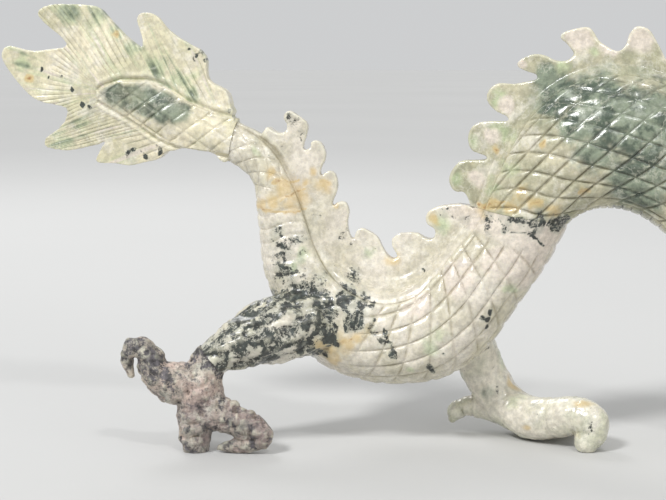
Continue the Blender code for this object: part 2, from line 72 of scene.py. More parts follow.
# The side drawing's extents in millimetres: along, across and up
DRAWN = np.array((336.0, 72.0, 131.0))
STRETCH = (CAD_HIGH - CAD_LOW) / DRAWN
ORIGIN = np.array((CAD_LOW[0], (CAD_LOW[1] + CAD_HIGH[1]) / 2, CAD_LOW[2]))
BODY = "root"

# Body stations: back x, back z, belly x, belly z, half width, height of the crest groove (1 is the back)
HIND_STATIONS = [
    (69.5, 98.0, 67.0, 86.5, 5.4, 0.9), (75, 95.0, 72, 83.0, 5.8, 0.9), (80, 92.5, 75.5, 80.5, 6.3, 0.88),
    (86, 87.5, 78, 76.5, 7.0, 0.85), (92, 78.0, 78.5, 70.0, 8.0, 0.82), (96, 69.0, 79.5, 61.0, 9.2, 0.8),
    (100, 60.5, 81, 51.0, 10.8, 0.76), (105, 54.5, 86, 38.5, 12.6, 0.7),
    (112, 51.5, 97, 24.0, 14.5, 0.64), (119, 51.0, 115, 18.0, 15.5, 0.58),
    (125, 52.5, 134, 19.5, 15.5, 0.62), (130, 56.5, 147, 28.0, 15.0, 0.7),
    (135, 61.5, 157, 42.0, 14.3, 0.76), (140, 66.0, 165, 54.5, 13.8, 0.8),
    (144, 71.5, 171.5, 67.0, 13.6, 0.84), (145.5, 76.0, 173, 70.0, 13.6, 0.84),
]
MID_STATIONS = [
    (143, 67.0, 170.5, 63.5, 13.6, 0.84), (144, 71.5, 171.5, 67.0, 13.6, 0.84),
    (148, 82.0, 174, 69.0, 14.0, 0.86), (152, 90.0, 176.5, 70.2, 14.5, 0.88),
    (159, 100.5, 179, 71.0, 15.2, 0.9), (167, 108.0, 181.5, 71.3, 15.8, 0.9),
    (178, 112.5, 184.5, 71.4, 16.0, 0.9), (189, 112.5, 187.5, 71.0, 16.0, 0.9),
    (199, 109.5, 191.5, 69.5, 15.8, 0.9), (209, 103.5, 196, 66.5, 15.4, 0.9),
    (219, 94.5, 201, 62.0, 15.0, 0.88), (227, 83.0, 206.5, 56.0, 14.8, 0.84),
    (230, 78.0, 209.5, 51.5, 14.8, 0.84),
]
FORE_STATIONS = [
    (224, 87.5, 204, 59.0, 14.8, 0.84), (227, 83.0, 206.5, 56.0, 14.8, 0.82),
    (233, 73.0, 213, 47.0, 15.0, 0.76), (238, 66.5, 222, 36.5, 15.5, 0.7),
    (246, 63.0, 235, 29.0, 16.0, 0.64), (253, 63.5, 250, 27.0, 16.0, 0.64),
    (257, 69.0, 263, 33.0, 15.5, 0.7), (259, 77.5, 271, 45.0, 14.5, 0.76),
    (261, 87.5, 277, 59.5, 13.5, 0.8), (262, 97.0, 280, 73.5, 12.5, 0.84),
    (263, 101.0, 281, 78.0, 12.3, 0.84),
]
HEAD_STATIONS = [
    (261.5, 92.5, 279, 69.0, 12.6, 0.95), (262, 97.0, 280, 73.5, 12.5, 0.95),
    (264.5, 106.0, 283, 83.0, 12.3, 0.95), (270, 114.0, 287.5, 90.0, 12.6, 0.97),
    (279, 119.5, 293, 93.5, 13.4, 0.97), (290, 119.5, 299.5, 93.8, 13.4, 0.97),
    (300, 113.5, 306, 93.2, 11.0, 0.97), (310, 107.0, 313, 92.8, 9.2, 0.97),
    (320, 106.0, 321, 92.8, 8.4, 0.97), (328, 108.0, 328.5, 93.6, 8.4, 0.97),
    (333, 105.5, 333, 96.0, 6.2, 0.97), (335.6, 102.5, 335.6, 99.0, 2.4, 0.97),
]
JAW_STATIONS = [
    (284, 99.0, 286, 86.0, 9.5, 0.97), (294, 91.5, 294, 83.0, 9.0, 0.97),
    (304, 87.0, 302, 80.0, 7.6, 0.97), (314, 84.0, 311, 77.6, 6.6, 0.97),
    (322, 83.6, 319, 77.2, 5.8, 0.97), (327, 84.6, 326, 79.5, 3.4, 0.97),
]
# Seam planes between stones: back point, belly point
FAN_SEAM = ((73, 96.2), (70.5, 84.2))
WAIST_SEAM = ((144, 71.5), (171.5, 67.0))
CHEST_SEAM = ((227, 83.0), (206.5, 56.0))
NECK_SEAM = ((262, 97.0), (280, 73.5))
# Metres round a seam and round the ankle that their saw cuts may touch
SEAM_REACH = 0.034
ANKLE_REACH = 0.018
# The usual open joint, fineness of the carved skin and depth of the scales, in metres
USUAL_SEAM_GAP = 0.00006
USUAL_GRAIN = 0.0004
USUAL_SCALE_DEPTH = 0.0005
# The polish setting at which a stone has its own look's roughness
USUAL_POLISH = 0.04
# Points measured in one go, so that the tables of distances stay small
STRIP = 20000
# Lumps along each side of the block of noise before it repeats
LUMPS_ALONG = 16
# The belly band's half width, as an angle about the middle of the body
BELLY_BAND = 0.45
# Weights of the smoothing that takes the stair steps off a fused skin
SHRINK = 0.5
SWELL = -0.53
# Angles of the rings that close a limb's end
DOME_ANGLES = (0.4, 0.8, 1.15, 1.42)
# How deep the unevenness is cut on a matt and on a polished foot, in millimetres
ROUGH_CARVING = 0.8
SMOOTH_CARVING = 0.25
# The shoulders: how far out they stand and how thick they are beside the leg's top, and how much higher
SHOULDER_TUCK = 0.72
SHOULDER_GIRTH = 1.12
SHOULDER_RISE = 2.0
# Cells of each stone's fused skin at the usual grain, in millimetres
SKIN_CELLS = {
    "tail_fan": 0.31, "hind_body": 0.455, "mid_body": 0.41, "fore_body": 0.43, "head": 0.425,
    "near_hind_foot": 0.34, "far_hind_leg": 0.36, "near_fore_leg": 0.36, "far_fore_leg": 0.36,
    "near_horn": 0.26, "far_horn": 0.26,
}
# Widths of the scales across each of the net's two sets of lines, in millimetres
BELLY_SCALES = (5.4, 6.4)
STEM_SCALES = (4.4, 4.4)
ARCH_SCALES = (5.8, 6.0)
CHEST_SCALES = (5.6, 5.6)
NECK_SCALES = (5.0, 5.0)
# How deep the scales and the body's bands are cut on each stone, in millimetres
HIND_CUT = 0.42
ARCH_CUT = 0.5
CHEST_CUT = 0.46
NECK_CUT = 0.42

FAN_OUTLINE = [
    (72, 95), (71, 101), (69.5, 105), (65, 107.5), (63.5, 110.5), (63.5, 114.5), (62, 117), (59.5, 118.5),
    (55, 121), (51.5, 124), (49, 127), (46, 128.5), (43, 128), (42.5, 125.5), (44.5, 120), (43.5, 118),
    (38, 122.5), (33.5, 127), (31, 129.5), (28, 130.5), (20, 131), (15, 130.5), (12, 128.5), (14, 125.5),
    (20.5, 119), (15, 117.5), (8.5, 117), (2, 118.5), (0, 116.5), (0.5, 113.5), (3, 109.5), (7, 105),
    (11.5, 102), (18, 100.5), (20.5, 99.5), (20, 96.5), (17.5, 93.5), (14, 91), (13.5, 88.5), (16, 87.5),
    (21, 87), (26, 88), (30, 89), (32.5, 90.5), (30, 87), (29, 83.5), (34.5, 83), (39, 82.5), (44, 83.5),
    (48.5, 84.5), (52, 87), (55, 87.5), (60, 87.5), (65.5, 86.5), (70, 84.5),
]
FAN_RIDGE = [
    (76, 95.0, 74, 82.8, 5.8, 0.97), (71, 97.5, 68.5, 85.0, 5.4, 0.97), (64, 100.0, 61, 87.0, 5.0, 0.97),
    (55, 105.0, 52, 89.5, 4.6, 0.97), (45, 108.0, 43, 94.5, 4.0, 0.97), (37, 108.0, 36, 99.0, 3.4, 0.97),
    (31, 106.5, 30.5, 103.0, 2.6, 0.97),
]
# The quill that the fan's barbs leave, and the pitches of the leaf's net and of the barbs
FAN_QUILL = [(76, 89), (71, 91.5), (63, 94), (54, 98), (45, 101.5), (38, 103.5), (33, 104.8)]
LEAF_PITCHES = (4.6, 5.6)
BARB_PITCH = 1.9
# Crest outlines: the roots and the rounded points of the teeth
HIND_CREST = [
    (82, 94.5), (85, 92.8), (87.5, 93), (88, 95.3), (87, 97), (87.5, 98.6), (88.8, 99.2), (90.3, 98.5),
    (93.3, 96.5), (94.2, 95), (94, 92.5), (93, 89.5), (93, 87.7), (95, 88.5), (95, 89.7), (96, 90.6),
    (98, 90), (99.5, 87), (99.2, 84.5), (98, 82), (98, 79.8), (99.3, 81), (101, 81.6), (102.5, 80.5),
    (103, 77.5), (102.5, 75), (101.5, 72.5), (101, 68.8), (102, 71), (103.5, 72.2), (105.5, 72),
    (106.5, 69.5), (106.2, 66.5), (106.5, 64), (107.3, 61.5), (108, 60.3), (108.5, 63.3), (110, 64.6),
    (112, 64), (115, 62), (116.5, 59), (118, 56.5), (119.8, 55.4), (121.2, 56.5), (119.7, 59),
    (119.5, 61.5), (121.5, 63.2), (124, 63.6), (127, 63.5), (129.5, 62), (131.8, 61.8), (132.3, 64.5),
    (130, 66), (129.5, 68), (130.7, 70), (134, 71.5), (137.5, 72), (141, 72.4), (143, 71.4),
]
MID_CREST = [
    (143, 71), (141, 75.5), (138, 76), (136.5, 78.5), (137, 81.5), (139.5, 84.5), (143.5, 85),
    (147, 85.3), (147, 86.5), (143, 88), (141.8, 91), (142.3, 94), (144.5, 96), (148, 96.5), (153, 96.5),
    (153, 98), (150, 99.3), (147.8, 101.3), (147, 103.5), (148, 106), (150.5, 107.5), (155, 107.5),
    (161, 108.7), (161, 110), (158, 111), (155.5, 112.5), (156.5, 114.5), (160, 116), (163.5, 115.5),
    (166.5, 114), (170, 114), (172, 116), (170, 118.7), (168, 120.5), (168.5, 122), (171.5, 123),
    (175.5, 123.5), (177.3, 122), (179, 119.3), (183, 117), (185, 117), (186.5, 118.7), (187.5, 121.5),
    (189.5, 123.7), (192.5, 123), (194.5, 120.5), (196.5, 117), (199, 113.5), (203, 118), (207, 117.5),
    (209.5, 113), (210.5, 106.5), (217, 109), (220.5, 107), (222, 102), (220.5, 96.5), (226.5, 97),
    (229.5, 94.5), (229.5, 90), (226.5, 84.5),
]
FORE_CREST = [
    (228.5, 83), (234.5, 83.5), (237, 80), (234.5, 73.5), (240.5, 73), (242, 69), (240, 65), (246, 67),
    (248.5, 65), (250, 62), (250, 67.5), (253, 70), (256, 69), (255.5, 74.5), (258, 78), (259.5, 77.5),
    (254.5, 82), (255.5, 87), (260.5, 87), (255.5, 91.5), (256, 96.5), (262, 97),
]
HEAD_CREST = [
    (261.5, 97), (256.5, 101), (257.5, 106), (263.5, 105.5), (259.5, 111), (261.5, 116), (269, 113),
    (268, 119), (272, 122.5), (277, 118),
]

# Limbs: x, y, z, radius along each
NEAR_THIGH = [
    (99, -3, 38, 11.2), (93, -8, 37, 10.8), (87.5, -12, 35.7, 9.9), (81, -15, 34, 8.9),
    (74, -18, 30.8, 6.7), (68.4, -19, 27.3, 5.2), (65, -19.6, 24.4, 5.2),
]
# The ankle's joint: its middle, and the way down the shank
ANKLE = ((68.4, -19.0, 27.3), (-8.3, -1.6, -7.3))
NEAR_HIND_PALM = [
    (72, -18.3, 30.4, 5.2), (68.4, -19, 27.3, 5.2), (66, -20, 23, 5.9), (65, -20, 17, 6.4),
    (64.5, -20, 13, 6.0),
]
NEAR_HIND_TOES = [
    [(65, -20, 20.5, 5.6), (58, -21, 20.4, 6.4), (52.8, -22, 23.5, 5.0), (50.2, -22, 28.6, 3.7),
     (47.4, -22, 31.2, 3.0), (44.7, -22, 29.8, 2.5), (43.6, -22, 26.2, 1.8), (44.6, -22, 22.6, 0.8)],
    [(64, -20, 17, 5.8), (63.6, -20, 9, 5.5), (63.4, -20, 3.6, 4.8), (63.6, -20, 1.0, 4.0)],
    [(66, -20, 16, 5.2), (71, -20.5, 11.0, 4.4), (77, -21, 8.8, 4.1), (82.2, -21, 6.8, 4.0),
     (83, -21, 4.4, 3.4), (79.6, -21, 2.8, 2.7), (75, -21, 2.1, 2.0), (70.6, -21, 1.3, 0.9)],
]
# The stone left standing between two toes, and the worn knuckles along the rear one
NEAR_HIND_WEB = [(65, -20, 12, 5.2), (68.5, -20.3, 10.2, 4.2), (73, -20.6, 9.2, 3.6), (79, -21, 6.8, 3.5)]
NEAR_HIND_KNUCKLES = [
    (72.4, -20.6, 14.6, 1.6), (75.2, -20.8, 13.6, 1.6), (77.8, -20.9, 12.4, 1.4), (80.2, -21, 11.3, 1.5),
    (82.6, -21, 10.3, 1.4), (84.6, -21, 9.2, 1.5),
]
FAR_HIND_LEG = [
    (140.3, 6, 35, 6.6), (142, 9, 30.8, 6.6), (143.7, 12, 26.6, 6.7), (146.5, 14, 19, 6.8),
    (151, 13, 12, 6.5), (155.5, 11, 8.5, 6.2),
]
FAR_HIND_TOES = [
    [(152, 12.5, 9.5, 6.2), (161, 7, 6.8, 6.5), (168, 2.5, 8.0, 6.2), (174.5, -1, 9.6, 5.8),
     (178.6, -3.2, 8.6, 5.3), (178.9, -4, 5.2, 4.8), (177.6, -4.6, 3.0, 4.0)],
    [(152, 13, 8.5, 5.6), (161, 14, 5.0, 5.4), (168.5, 14, 5.2, 4.8), (174, 13.5, 4.6, 4.0),
     (176.5, 13.5, 1.8, 1.8)],
    [(153, 12, 8, 5.2), (146, 14, 8, 3.9), (140.5, 14.5, 7.8, 3.0), (138, 14.5, 5.8, 2.8),
     (137, 14.5, 3.8, 1.5)],
]
FORE_LEG = [
    (246, 7.5, 46, 8.0), (244.7, 12.5, 41.5, 8.0), (242.8, 19.3, 35, 8.2), (239, 22, 27.5, 7.4),
    (241.5, 22.5, 18.5, 6.2), (247.5, 23, 11.5, 6.0), (251.5, 23, 8.2, 6.0),
]
FORE_TOES = [
    [(249.5, 23, 8.6, 5.8), (257, 23.5, 4.8, 5.5), (264, 24, 5.8, 4.8), (269, 24, 4.8, 3.6),
     (271, 24, 1.6, 1.7)],
    [(249.5, 22, 8.6, 5.6), (256.5, 17.5, 4.8, 5.1), (262.5, 14, 5.4, 4.3), (267, 12.5, 4.2, 3.2),
     (269, 12, 1.5, 1.6)],
    [(249.5, 24, 8.6, 5.4), (255, 29, 4.6, 4.7), (260, 32, 4.8, 3.8), (263.5, 33.5, 3.6, 2.7),
     (265, 34.2, 1.5, 1.5)],
    [(249, 23, 8.2, 4.8), (241, 23.5, 6.2, 3.8), (235.5, 24, 5.0, 2.9), (232.5, 24, 1.8, 1.5)],
]
# The fore legs' sides: which way they stand across, and how far forward
FORE_SIDES = ((-1, 0.0), (1, 9.0))
HORN = [
    (283.5, 5.6, 117, 3.4), (281, 6.9, 122, 3.4), (276.5, 8.4, 126, 3.2), (269, 10, 128, 2.8),
    (260.5, 11, 127.6, 2.2), (253.5, 11.6, 129, 1.1),
]


def drawn_to_frame(points):
    """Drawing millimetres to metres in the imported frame."""
    return ORIGIN + np.asarray(points, dtype=float) * STRETCH


def smooth_rows(rows, steps):
    """Catmull-Rom rows through the given rows."""
    rows = np.asarray(rows, dtype=float)
    ends = np.vstack((2 * rows[0] - rows[1], rows, 2 * rows[-1] - rows[-2]))
    p, q, r, s = ends[:-3], ends[1:-2], ends[2:-1], ends[3:]
    made = []
    for step in range(steps):
        t = step / steps
        made.append(0.5 * (2 * q + (r - p) * t + (2 * p - 5 * q + 4 * r - s) * t * t
                           + (3 * q - p - 3 * r + s) * t ** 3))
    made = np.stack(made, axis=1).reshape(-1, rows.shape[1])
    return np.vstack((made, rows[-1]))


def ease(low, high, value):
    """Smooth step from 0 at low to 1 at high."""
    t = np.clip((value - low) / (high - low), 0.0, 1.0)
    return t * t * (3 - 2 * t)


def lumps(points, size, seed):
    """Smooth value noise from -1 to 1 with lumps about this many millimetres across."""
    table = np.random.default_rng(seed).uniform(-1, 1, (LUMPS_ALONG, LUMPS_ALONG, LUMPS_ALONG))
    spot = points / size
    cell = np.floor(spot).astype(int)
    part = spot - cell
    part = part * part * (3 - 2 * part)
    total = np.zeros(len(points))
    for dx in (0, 1):
        for dy in (0, 1):
            for dz in (0, 1):
                near = np.abs((1 - dx, 1 - dy, 1 - dz) - part)
                corner = (cell + (dx, dy, dz)) % LUMPS_ALONG
                height = table[corner[:, 0], corner[:, 1], corner[:, 2]]
                total += near[:, 0] * near[:, 1] * near[:, 2] * height
    return total


def line_gap(count, pitch):
    """Distance in millimetres to the nearest of the lines that stand half way between whole counts."""
    return np.abs(count - np.floor(count) - 0.5) * pitch


def cut_line(gap, width):
    """1 in the middle of a cut, 0 beside it."""
    return np.exp(-(gap / width) ** 2)


def stains(points, spots):
    """How deep a point lies in round stains through the stone: 1 in the middle, about 0.37 at the rim."""
    level = np.zeros(len(points))
    flat = points[:, (0, 2)]
    for x, z, radius in spots:
        reach = ((flat[:, 0] - x) ** 2 + (flat[:, 1] - z) ** 2) / radius ** 2
        level = np.maximum(level, np.exp(-reach))
    return level


def strokes(points, lines):
    """How deep a point lies in stroke-shaped stains: 1 along the middle."""
    level = np.zeros(len(points))
    flat = points[:, (0, 2)]
    for start_x, start_z, end_x, end_z, half in lines:
        way = np.array((end_x - start_x, end_z - start_z))
        share = np.clip((flat - (start_x, start_z)) @ way / (way @ way), 0, 1)
        miss = np.linalg.norm(flat - (start_x, start_z) - share[:, None] * way, axis=1)
        level = np.maximum(level, np.exp(-(miss / half) ** 2))
    return level


class Spine:
    """Station rows of a body length, and how far along and up it any point stands."""

    def __init__(self, stations, steps=8):
        rows = smooth_rows(stations, steps)
        self.back, self.belly = rows[:, 0:2], rows[:, 2:4]
        self.middle = (self.back + self.belly) / 2
        rise = (self.back - self.belly) / 2
        self.depth = np.linalg.norm(rise, axis=1)
        self.up = rise / self.depth[:, None]
        self.ahead = np.stack((self.up[:, 1], -self.up[:, 0]), axis=1)
        self.half, self.border = rows[:, 4], rows[:, 5]
        steps_long = np.linalg.norm(np.diff(self.middle, axis=0), axis=1)
        self.length = np.concatenate(((0,), np.cumsum(steps_long)))

    def locate(self, points):
        """Length along the middle line, height (-1 belly to 1 back) and the local sizes at each point."""
        flat = points[:, (0, 2)]
        pick = np.zeros(len(points), dtype=int)
        for start in range(0, len(points), STRIP):
            part = flat[start:start + STRIP, None, :] - self.middle[None]
            along = np.abs((part * self.ahead).sum(axis=2))
            height = np.abs((part * self.up).sum(axis=2)) / self.depth
            pick[start:start + STRIP] = (along + 3 * self.depth * np.maximum(0, height - 1.3)).argmin(axis=1)
        pick = np.clip(pick, 1, len(self.half) - 2)
        offset = flat - self.middle[pick]
        along = (offset * self.ahead[pick]).sum(axis=1)
        height = (offset * self.up[pick]).sum(axis=1) / self.depth[pick]
        step = np.where(along > 0, 1, -1)
        level = np.clip(height, -1, 1)[:, None]
        here = self.middle[pick] + level * (self.back - self.middle)[pick]
        there = self.middle[pick + step] + level * (self.back - self.middle)[pick + step]
        run = ((there - here) * self.ahead[pick]).sum(axis=1)
        run = np.where(np.abs(run) < 0.05, 0.05 * step, run)
        share = np.clip(along / run, 0, 1)

        def between(values):
            return values[pick] + (values[pick + step] - values[pick]) * share

        return between(self.length), height, between(self.half), between(self.depth), between(self.border)


def closed_skin(solids, rings):
    """Close a row of equal rings of points into a solid."""
    loops = [[solids.verts.new(point) for point in ring] for ring in rings]
    for low, high in zip(loops, loops[1:]):
        for i, corner in enumerate(low):
            j = (i + 1) % len(low)
            solids.faces.new((corner, low[j], high[j], high[i]))
    solids.faces.new(loops[0][::-1])
    solids.faces.new(loops[-1])


def body_width(height, half, border, crest_half):
    """Half width of a body at a height: an egg drawn in hollow above the crest groove."""
    def egg(level):
        return half * math.sqrt(max(0.0, 1 - level * level)) * (1 - 0.1 * level)
    if height <= border:
        return egg(height)
    share = (height - border) / (1 - border)
    rim = egg(border)
    narrow = min(crest_half, rim)
    return narrow + (rim - narrow) * (1 - share) ** 1.8


def add_body(solids, stations, crest_half=3.2, sides=72, steps=4):
    """A body length along its stations, closed at both ends."""
    rings = []
    for back_x, back_z, belly_x, belly_z, half, border in smooth_rows(stations, steps):
        ring = []
        for i in range(sides):
            turn = math.tau * i / sides
            height = math.cos(turn)
            across = body_width(height, half, border, crest_half) * (1 if turn < math.pi else -1)
            if i in (0, sides // 2):
                across = 0.0
            level = (1 + height) / 2
            ring.append((belly_x + (back_x - belly_x) * level, across, belly_z + (back_z - belly_z) * level))
        rings.append(ring)
    closed_skin(solids, rings)


def add_tube(solids, rows, sides=28, steps=6):
    """A round limb along rows of x, y, z, radius, with a dome at each end."""
    rows = smooth_rows(rows, steps)
    centres = [Vector(row[:3]) for row in rows]
    radii = [float(row[3]) for row in rows]
    for end, near in ((-1, -2), (0, 1)):
        way = (centres[end] - centres[near]).normalized()
        tip, radius = centres[end], radii[end]
        dome = [(tip + way * radius * math.sin(a), radius * math.cos(a)) for a in DOME_ANGLES]
        if end == -1:
            centres += [spot for spot, _ in dome]
            radii += [size for _, size in dome]
        else:
            centres = [spot for spot, _ in dome[::-1]] + centres
            radii = [size for _, size in dome[::-1]] + radii
    side, rings = None, []
    for i, centre in enumerate(centres):
        along = (centres[min(i + 1, len(centres) - 1)] - centres[max(i - 1, 0)]).normalized()
        if side is None:
            side = along.cross(Vector((0, 1, 0)))
            side = side.normalized() if side.length > 0.1 else along.orthogonal().normalized()
        side = (side - along * side.dot(along)).normalized()
        up = along.cross(side)
        turns = [math.tau * k / sides for k in range(sides)]
        rings.append([centre + side * (math.cos(turn) * radii[i]) + up * (math.sin(turn) * radii[i])
                      for turn in turns])
    closed_skin(solids, rings)


def add_ball(solids, spot):
    """A ball at x, y, z with its radius."""
    bmesh.ops.create_icosphere(
        solids, subdivisions=4, radius=1.0,
        matrix=Matrix.Translation(spot[:3]) @ Matrix.Diagonal((spot[3], spot[3], spot[3], 1.0)))


def smooth_loop(outline, steps=4):
    """A closed Catmull-Rom line through an outline."""
    points = np.asarray(outline, dtype=float)
    ends = np.vstack((points[-1], points, points[0], points[1]))
    return smooth_rows(ends, steps)[steps:-steps - 1]


def add_plate(solids, outline, thickness, bow=None, grain=1.7):
    """A plate on the drawing's plane, as thick as thickness(points) says and bent across by bow(points)."""
    rim = [Vector(point) for point in outline]
    count = len(rim)
    low, high = np.min(outline, axis=0), np.max(outline, axis=0)
    inside = [Vector((x, z)) for x in np.arange(low[0], high[0], grain)
              for z in np.arange(low[1], high[1], grain)]
    flat, _edges, faces = delaunay_2d_cdt(
        rim + inside, [(i, (i + 1) % count) for i in range(count)], [list(range(count))], 1, 1e-4)[:3]
    points = np.array([tuple(point) for point in flat])
    half = thickness(points) / 2
    middle = bow(points) if bow else np.zeros(len(points))
    near = [solids.verts.new((x, y - h, z)) for (x, z), y, h in zip(points, middle, half)]
    far = [solids.verts.new((x, y + h, z)) for (x, z), y, h in zip(points, middle, half)]
    uses = {}
    for face in faces:
        solids.faces.new([near[i] for i in face])
        solids.faces.new([far[i] for i in reversed(face)])
        for i, j in zip(face, list(face[1:]) + [face[0]]):
            uses[(i, j)] = (j, i)
    for i, j in [edge for edge, back in uses.items() if back not in uses]:
        solids.faces.new((near[j], near[i], far[i], far[j]))


def add_crest(solids, outline, stations, root=6.4, tip=3.0, reach=9.0, sink=5.0):
    """A toothed crest buried in the back, thick at the root and thin at its rounded points."""
    line = smooth_rows(stations, 6)[:, 0:2]
    buried = []
    for back_x, back_z, belly_x, belly_z, *_rest in stations:
        down = Vector((belly_x - back_x, belly_z - back_z)).normalized() * sink
        buried.append((back_x + down.x, back_z + down.y))
    teeth = smooth_rows(outline, 4)
    rim = np.vstack((teeth, buried[::-1]))

    def thickness(points):
        gap = np.linalg.norm(points[:, None] - line[None], axis=2).min(axis=1)
        return root + (tip - root) * ease(0, reach, gap)
    add_plate(solids, rim, thickness)


def relax(points, edges, count, passes):
    """Take the stair steps off a fused skin without thinning it: shrink and swell it by turns."""
    for weight in (SHRINK, SWELL) * passes:
        points = points + weight * (neighbour_mean(points, edges, count) - points)
    return points


def neighbour_mean(values, edges, count):
    """Each point's mean of what its neighbours along the edges hold."""
    flat = values.reshape(len(values), -1)
    total = np.empty_like(flat)
    for axis in range(flat.shape[1]):
        total[:, axis] = (np.bincount(edges[:, 0], weights=flat[edges[:, 1], axis], minlength=len(flat))
                          + np.bincount(edges[:, 1], weights=flat[edges[:, 0], axis], minlength=len(flat)))
    return (total / count).reshape(values.shape)


class Stone:
    """A stone being carved: its skin in drawing millimetres and what is marked on it."""

    def __init__(self, name, solids, passes=4):
        mesh = bpy.data.meshes.new(name + "_solids")
        bmesh.ops.recalc_face_normals(solids, faces=solids.faces)
        solids.to_mesh(mesh)
        solids.free()
        self.node = name
        self.item = bpy.data.objects.new(name + "_carved", mesh)
        bpy.context.scene.collection.objects.link(self.item)
        fuse = self.item.modifiers.new("fuse", "REMESH")
        fuse.mode = "VOXEL"
        fuse.voxel_size = SKIN_CELLS[name] * scene_settings().grain / USUAL_GRAIN
        graph = bpy.context.evaluated_depsgraph_get()
        self.mesh = bpy.data.meshes.new_from_object(self.item.evaluated_get(graph))
        self.item.modifiers.clear()
        self.item.data = self.mesh
        bpy.data.meshes.remove(mesh)
        self.mesh.name = name + "_carved"
        count = len(self.mesh.vertices)
        self.points = np.empty(count * 3)
        self.mesh.vertices.foreach_get("co", self.points)
        self.points = self.points.reshape(-1, 3)
        self.edges = np.empty(len(self.mesh.edges) * 2, dtype=np.int32)
        self.mesh.edges.foreach_get("vertices", self.edges)
        self.edges = self.edges.reshape(-1, 2)
        self.count = np.bincount(self.edges.ravel(), minlength=count)[:, None]
        self.points = relax(self.points, self.edges, self.count, passes)
        self.grid = np.zeros((count, 3))
        self.zone = {key: np.zeros(count) for key in ("green", "dark", "iron", "mint", "pink", "hollow")}
        self.refresh()

    def refresh(self):
        """Write the points back and take new normals."""
        self.mesh.vertices.foreach_set("co", self.points.ravel())
        self.mesh.update()
        self.normals = np.empty(len(self.points) * 3)
        self.mesh.vertex_normals.foreach_get("vector", self.normals)
        self.normals = self.normals.reshape(-1, 3)

    def follow(self, spine):
        """Mark the body's own directions on the stone: length, height, and distance round from the back."""
        self.s, self.h, self.half, self.depth, self.border = spine.locate(self.points)
        for _ in range(6):
            self.s, self.h = (neighbour_mean(field, self.edges, self.count) for field in (self.s, self.h))
        self.turn = np.arctan2(np.abs(self.points[:, 1]) / self.half, self.h)
        self.girth = self.turn * (self.half + self.depth) / 2
        self.off = np.maximum(0, np.hypot(self.points[:, 1] / self.half, self.h) - 1) * self.depth

    def push(self, amount):
        """Raise the skin by an amount at each point; below zero it is cut."""
        self.points = self.points + self.normals * amount[:, None]

    def blend(self, mask, passes):
        """Soften the skin where mask is 1, so joined limbs flow into the body."""
        for _ in range(passes):
            pull = neighbour_mean(self.points, self.edges, self.count) - self.points
            self.points += pull * mask[:, None] * 0.6

    def feel_hollows(self):
        """Mark cuts and hollows above 0.5, where the colour gets painted shade, and convex ridges below it,
        where the colour is made lighter.
        """
        self.refresh()
        pull = neighbour_mean(self.points, self.edges, self.count) - self.points
        lift = (pull * self.normals).sum(axis=1)
        for _ in range(2):
            lift = 0.5 * lift + 0.5 * neighbour_mean(lift, self.edges, self.count)
        self.zone["hollow"] = np.clip(0.5 + lift * 9, 0, 1)

    def finish(self, material, cuts=(), floor=False):
        """Cut the joint faces, store the marks, place the stone in the frame, hang it on the body and hide
        its CAD node.
        """
        self.feel_hollows()
        if floor:
            self.points[:, 2] = np.maximum(self.points[:, 2], 0.0)
        self.mesh.vertices.foreach_set("co", drawn_to_frame(self.points).ravel())
        for label, parts in (("zone", ("green", "dark", "iron")), ("tone", ("mint", "pink", "hollow"))):
            store = self.mesh.attributes.new(label, "FLOAT_VECTOR", "POINT")
            store.data.foreach_set("vector", np.stack([self.zone[part] for part in parts], axis=1).ravel())
        store = self.mesh.attributes.new("grid", "FLOAT_VECTOR", "POINT")
        store.data.foreach_set("vector", self.grid.ravel())
        work = bmesh.new()
        work.from_mesh(self.mesh)
        for face in work.faces:
            face.smooth = True
        for point, keep, *reach in cuts:
            cut_face(work, point, keep, *reach)
        work.to_mesh(self.mesh)
        work.free()
        self.mesh.update()
        self.mesh.materials.clear()
        self.mesh.materials.append(material)
        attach(self.item, BODY)
        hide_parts(self.node)
        return self.item


def cut_face(work, point, keep, reach=1.0):
    """Saw a stone off flat at a plane, keeping the side that keep points to, within reach of the point."""
    near = {vert for vert in work.verts if (vert.co - point).length < reach}
    faces = [face for face in work.faces if all(vert in near for vert in face.verts)]
    edges = {edge for face in faces for edge in face.edges}
    bmesh.ops.bisect_plane(work, geom=list(near) + list(edges) + faces, dist=1e-7,
                           plane_co=point, plane_no=keep, clear_inner=True)
    rim = [edge for edge in work.edges if edge.is_boundary]
    made = bmesh.ops.holes_fill(work, edges=rim, sides=0)
    for face in made["faces"]:
        face.smooth = False
        for edge in face.edges:
            edge.smooth = False


def seam_cut(seam, ahead):
    """A joint plane at half the cement gap: its point and the side kept, ahead of the seam or behind it."""
    back, belly = (Vector(drawn_to_frame((x, 0, z))) for x, z in seam)
    along = (back - belly).cross(Vector((0, 1, 0))).normalized()
    keep = -along if ahead else along
    return (back + belly) / 2 + keep * scene_settings().seam_gap / 2, keep, SEAM_REACH


def seat_cut(rows):
    """The flat end of a limb on its seat."""
    first, second = (Vector(drawn_to_frame(row[:3])) for row in rows[:2])
    along = (second - first).normalized()
    return first + along * scene_settings().seam_gap, along


def ankle_cut(down, reach=1.0):
    """The ankle's joint plane; down keeps the foot's side, otherwise the shank's."""
    keep = Vector(ANKLE[1]).normalized() * (1 if down else -1)
    return Vector(drawn_to_frame(ANKLE[0])) + keep * scene_settings().seam_gap / 2, keep, reach


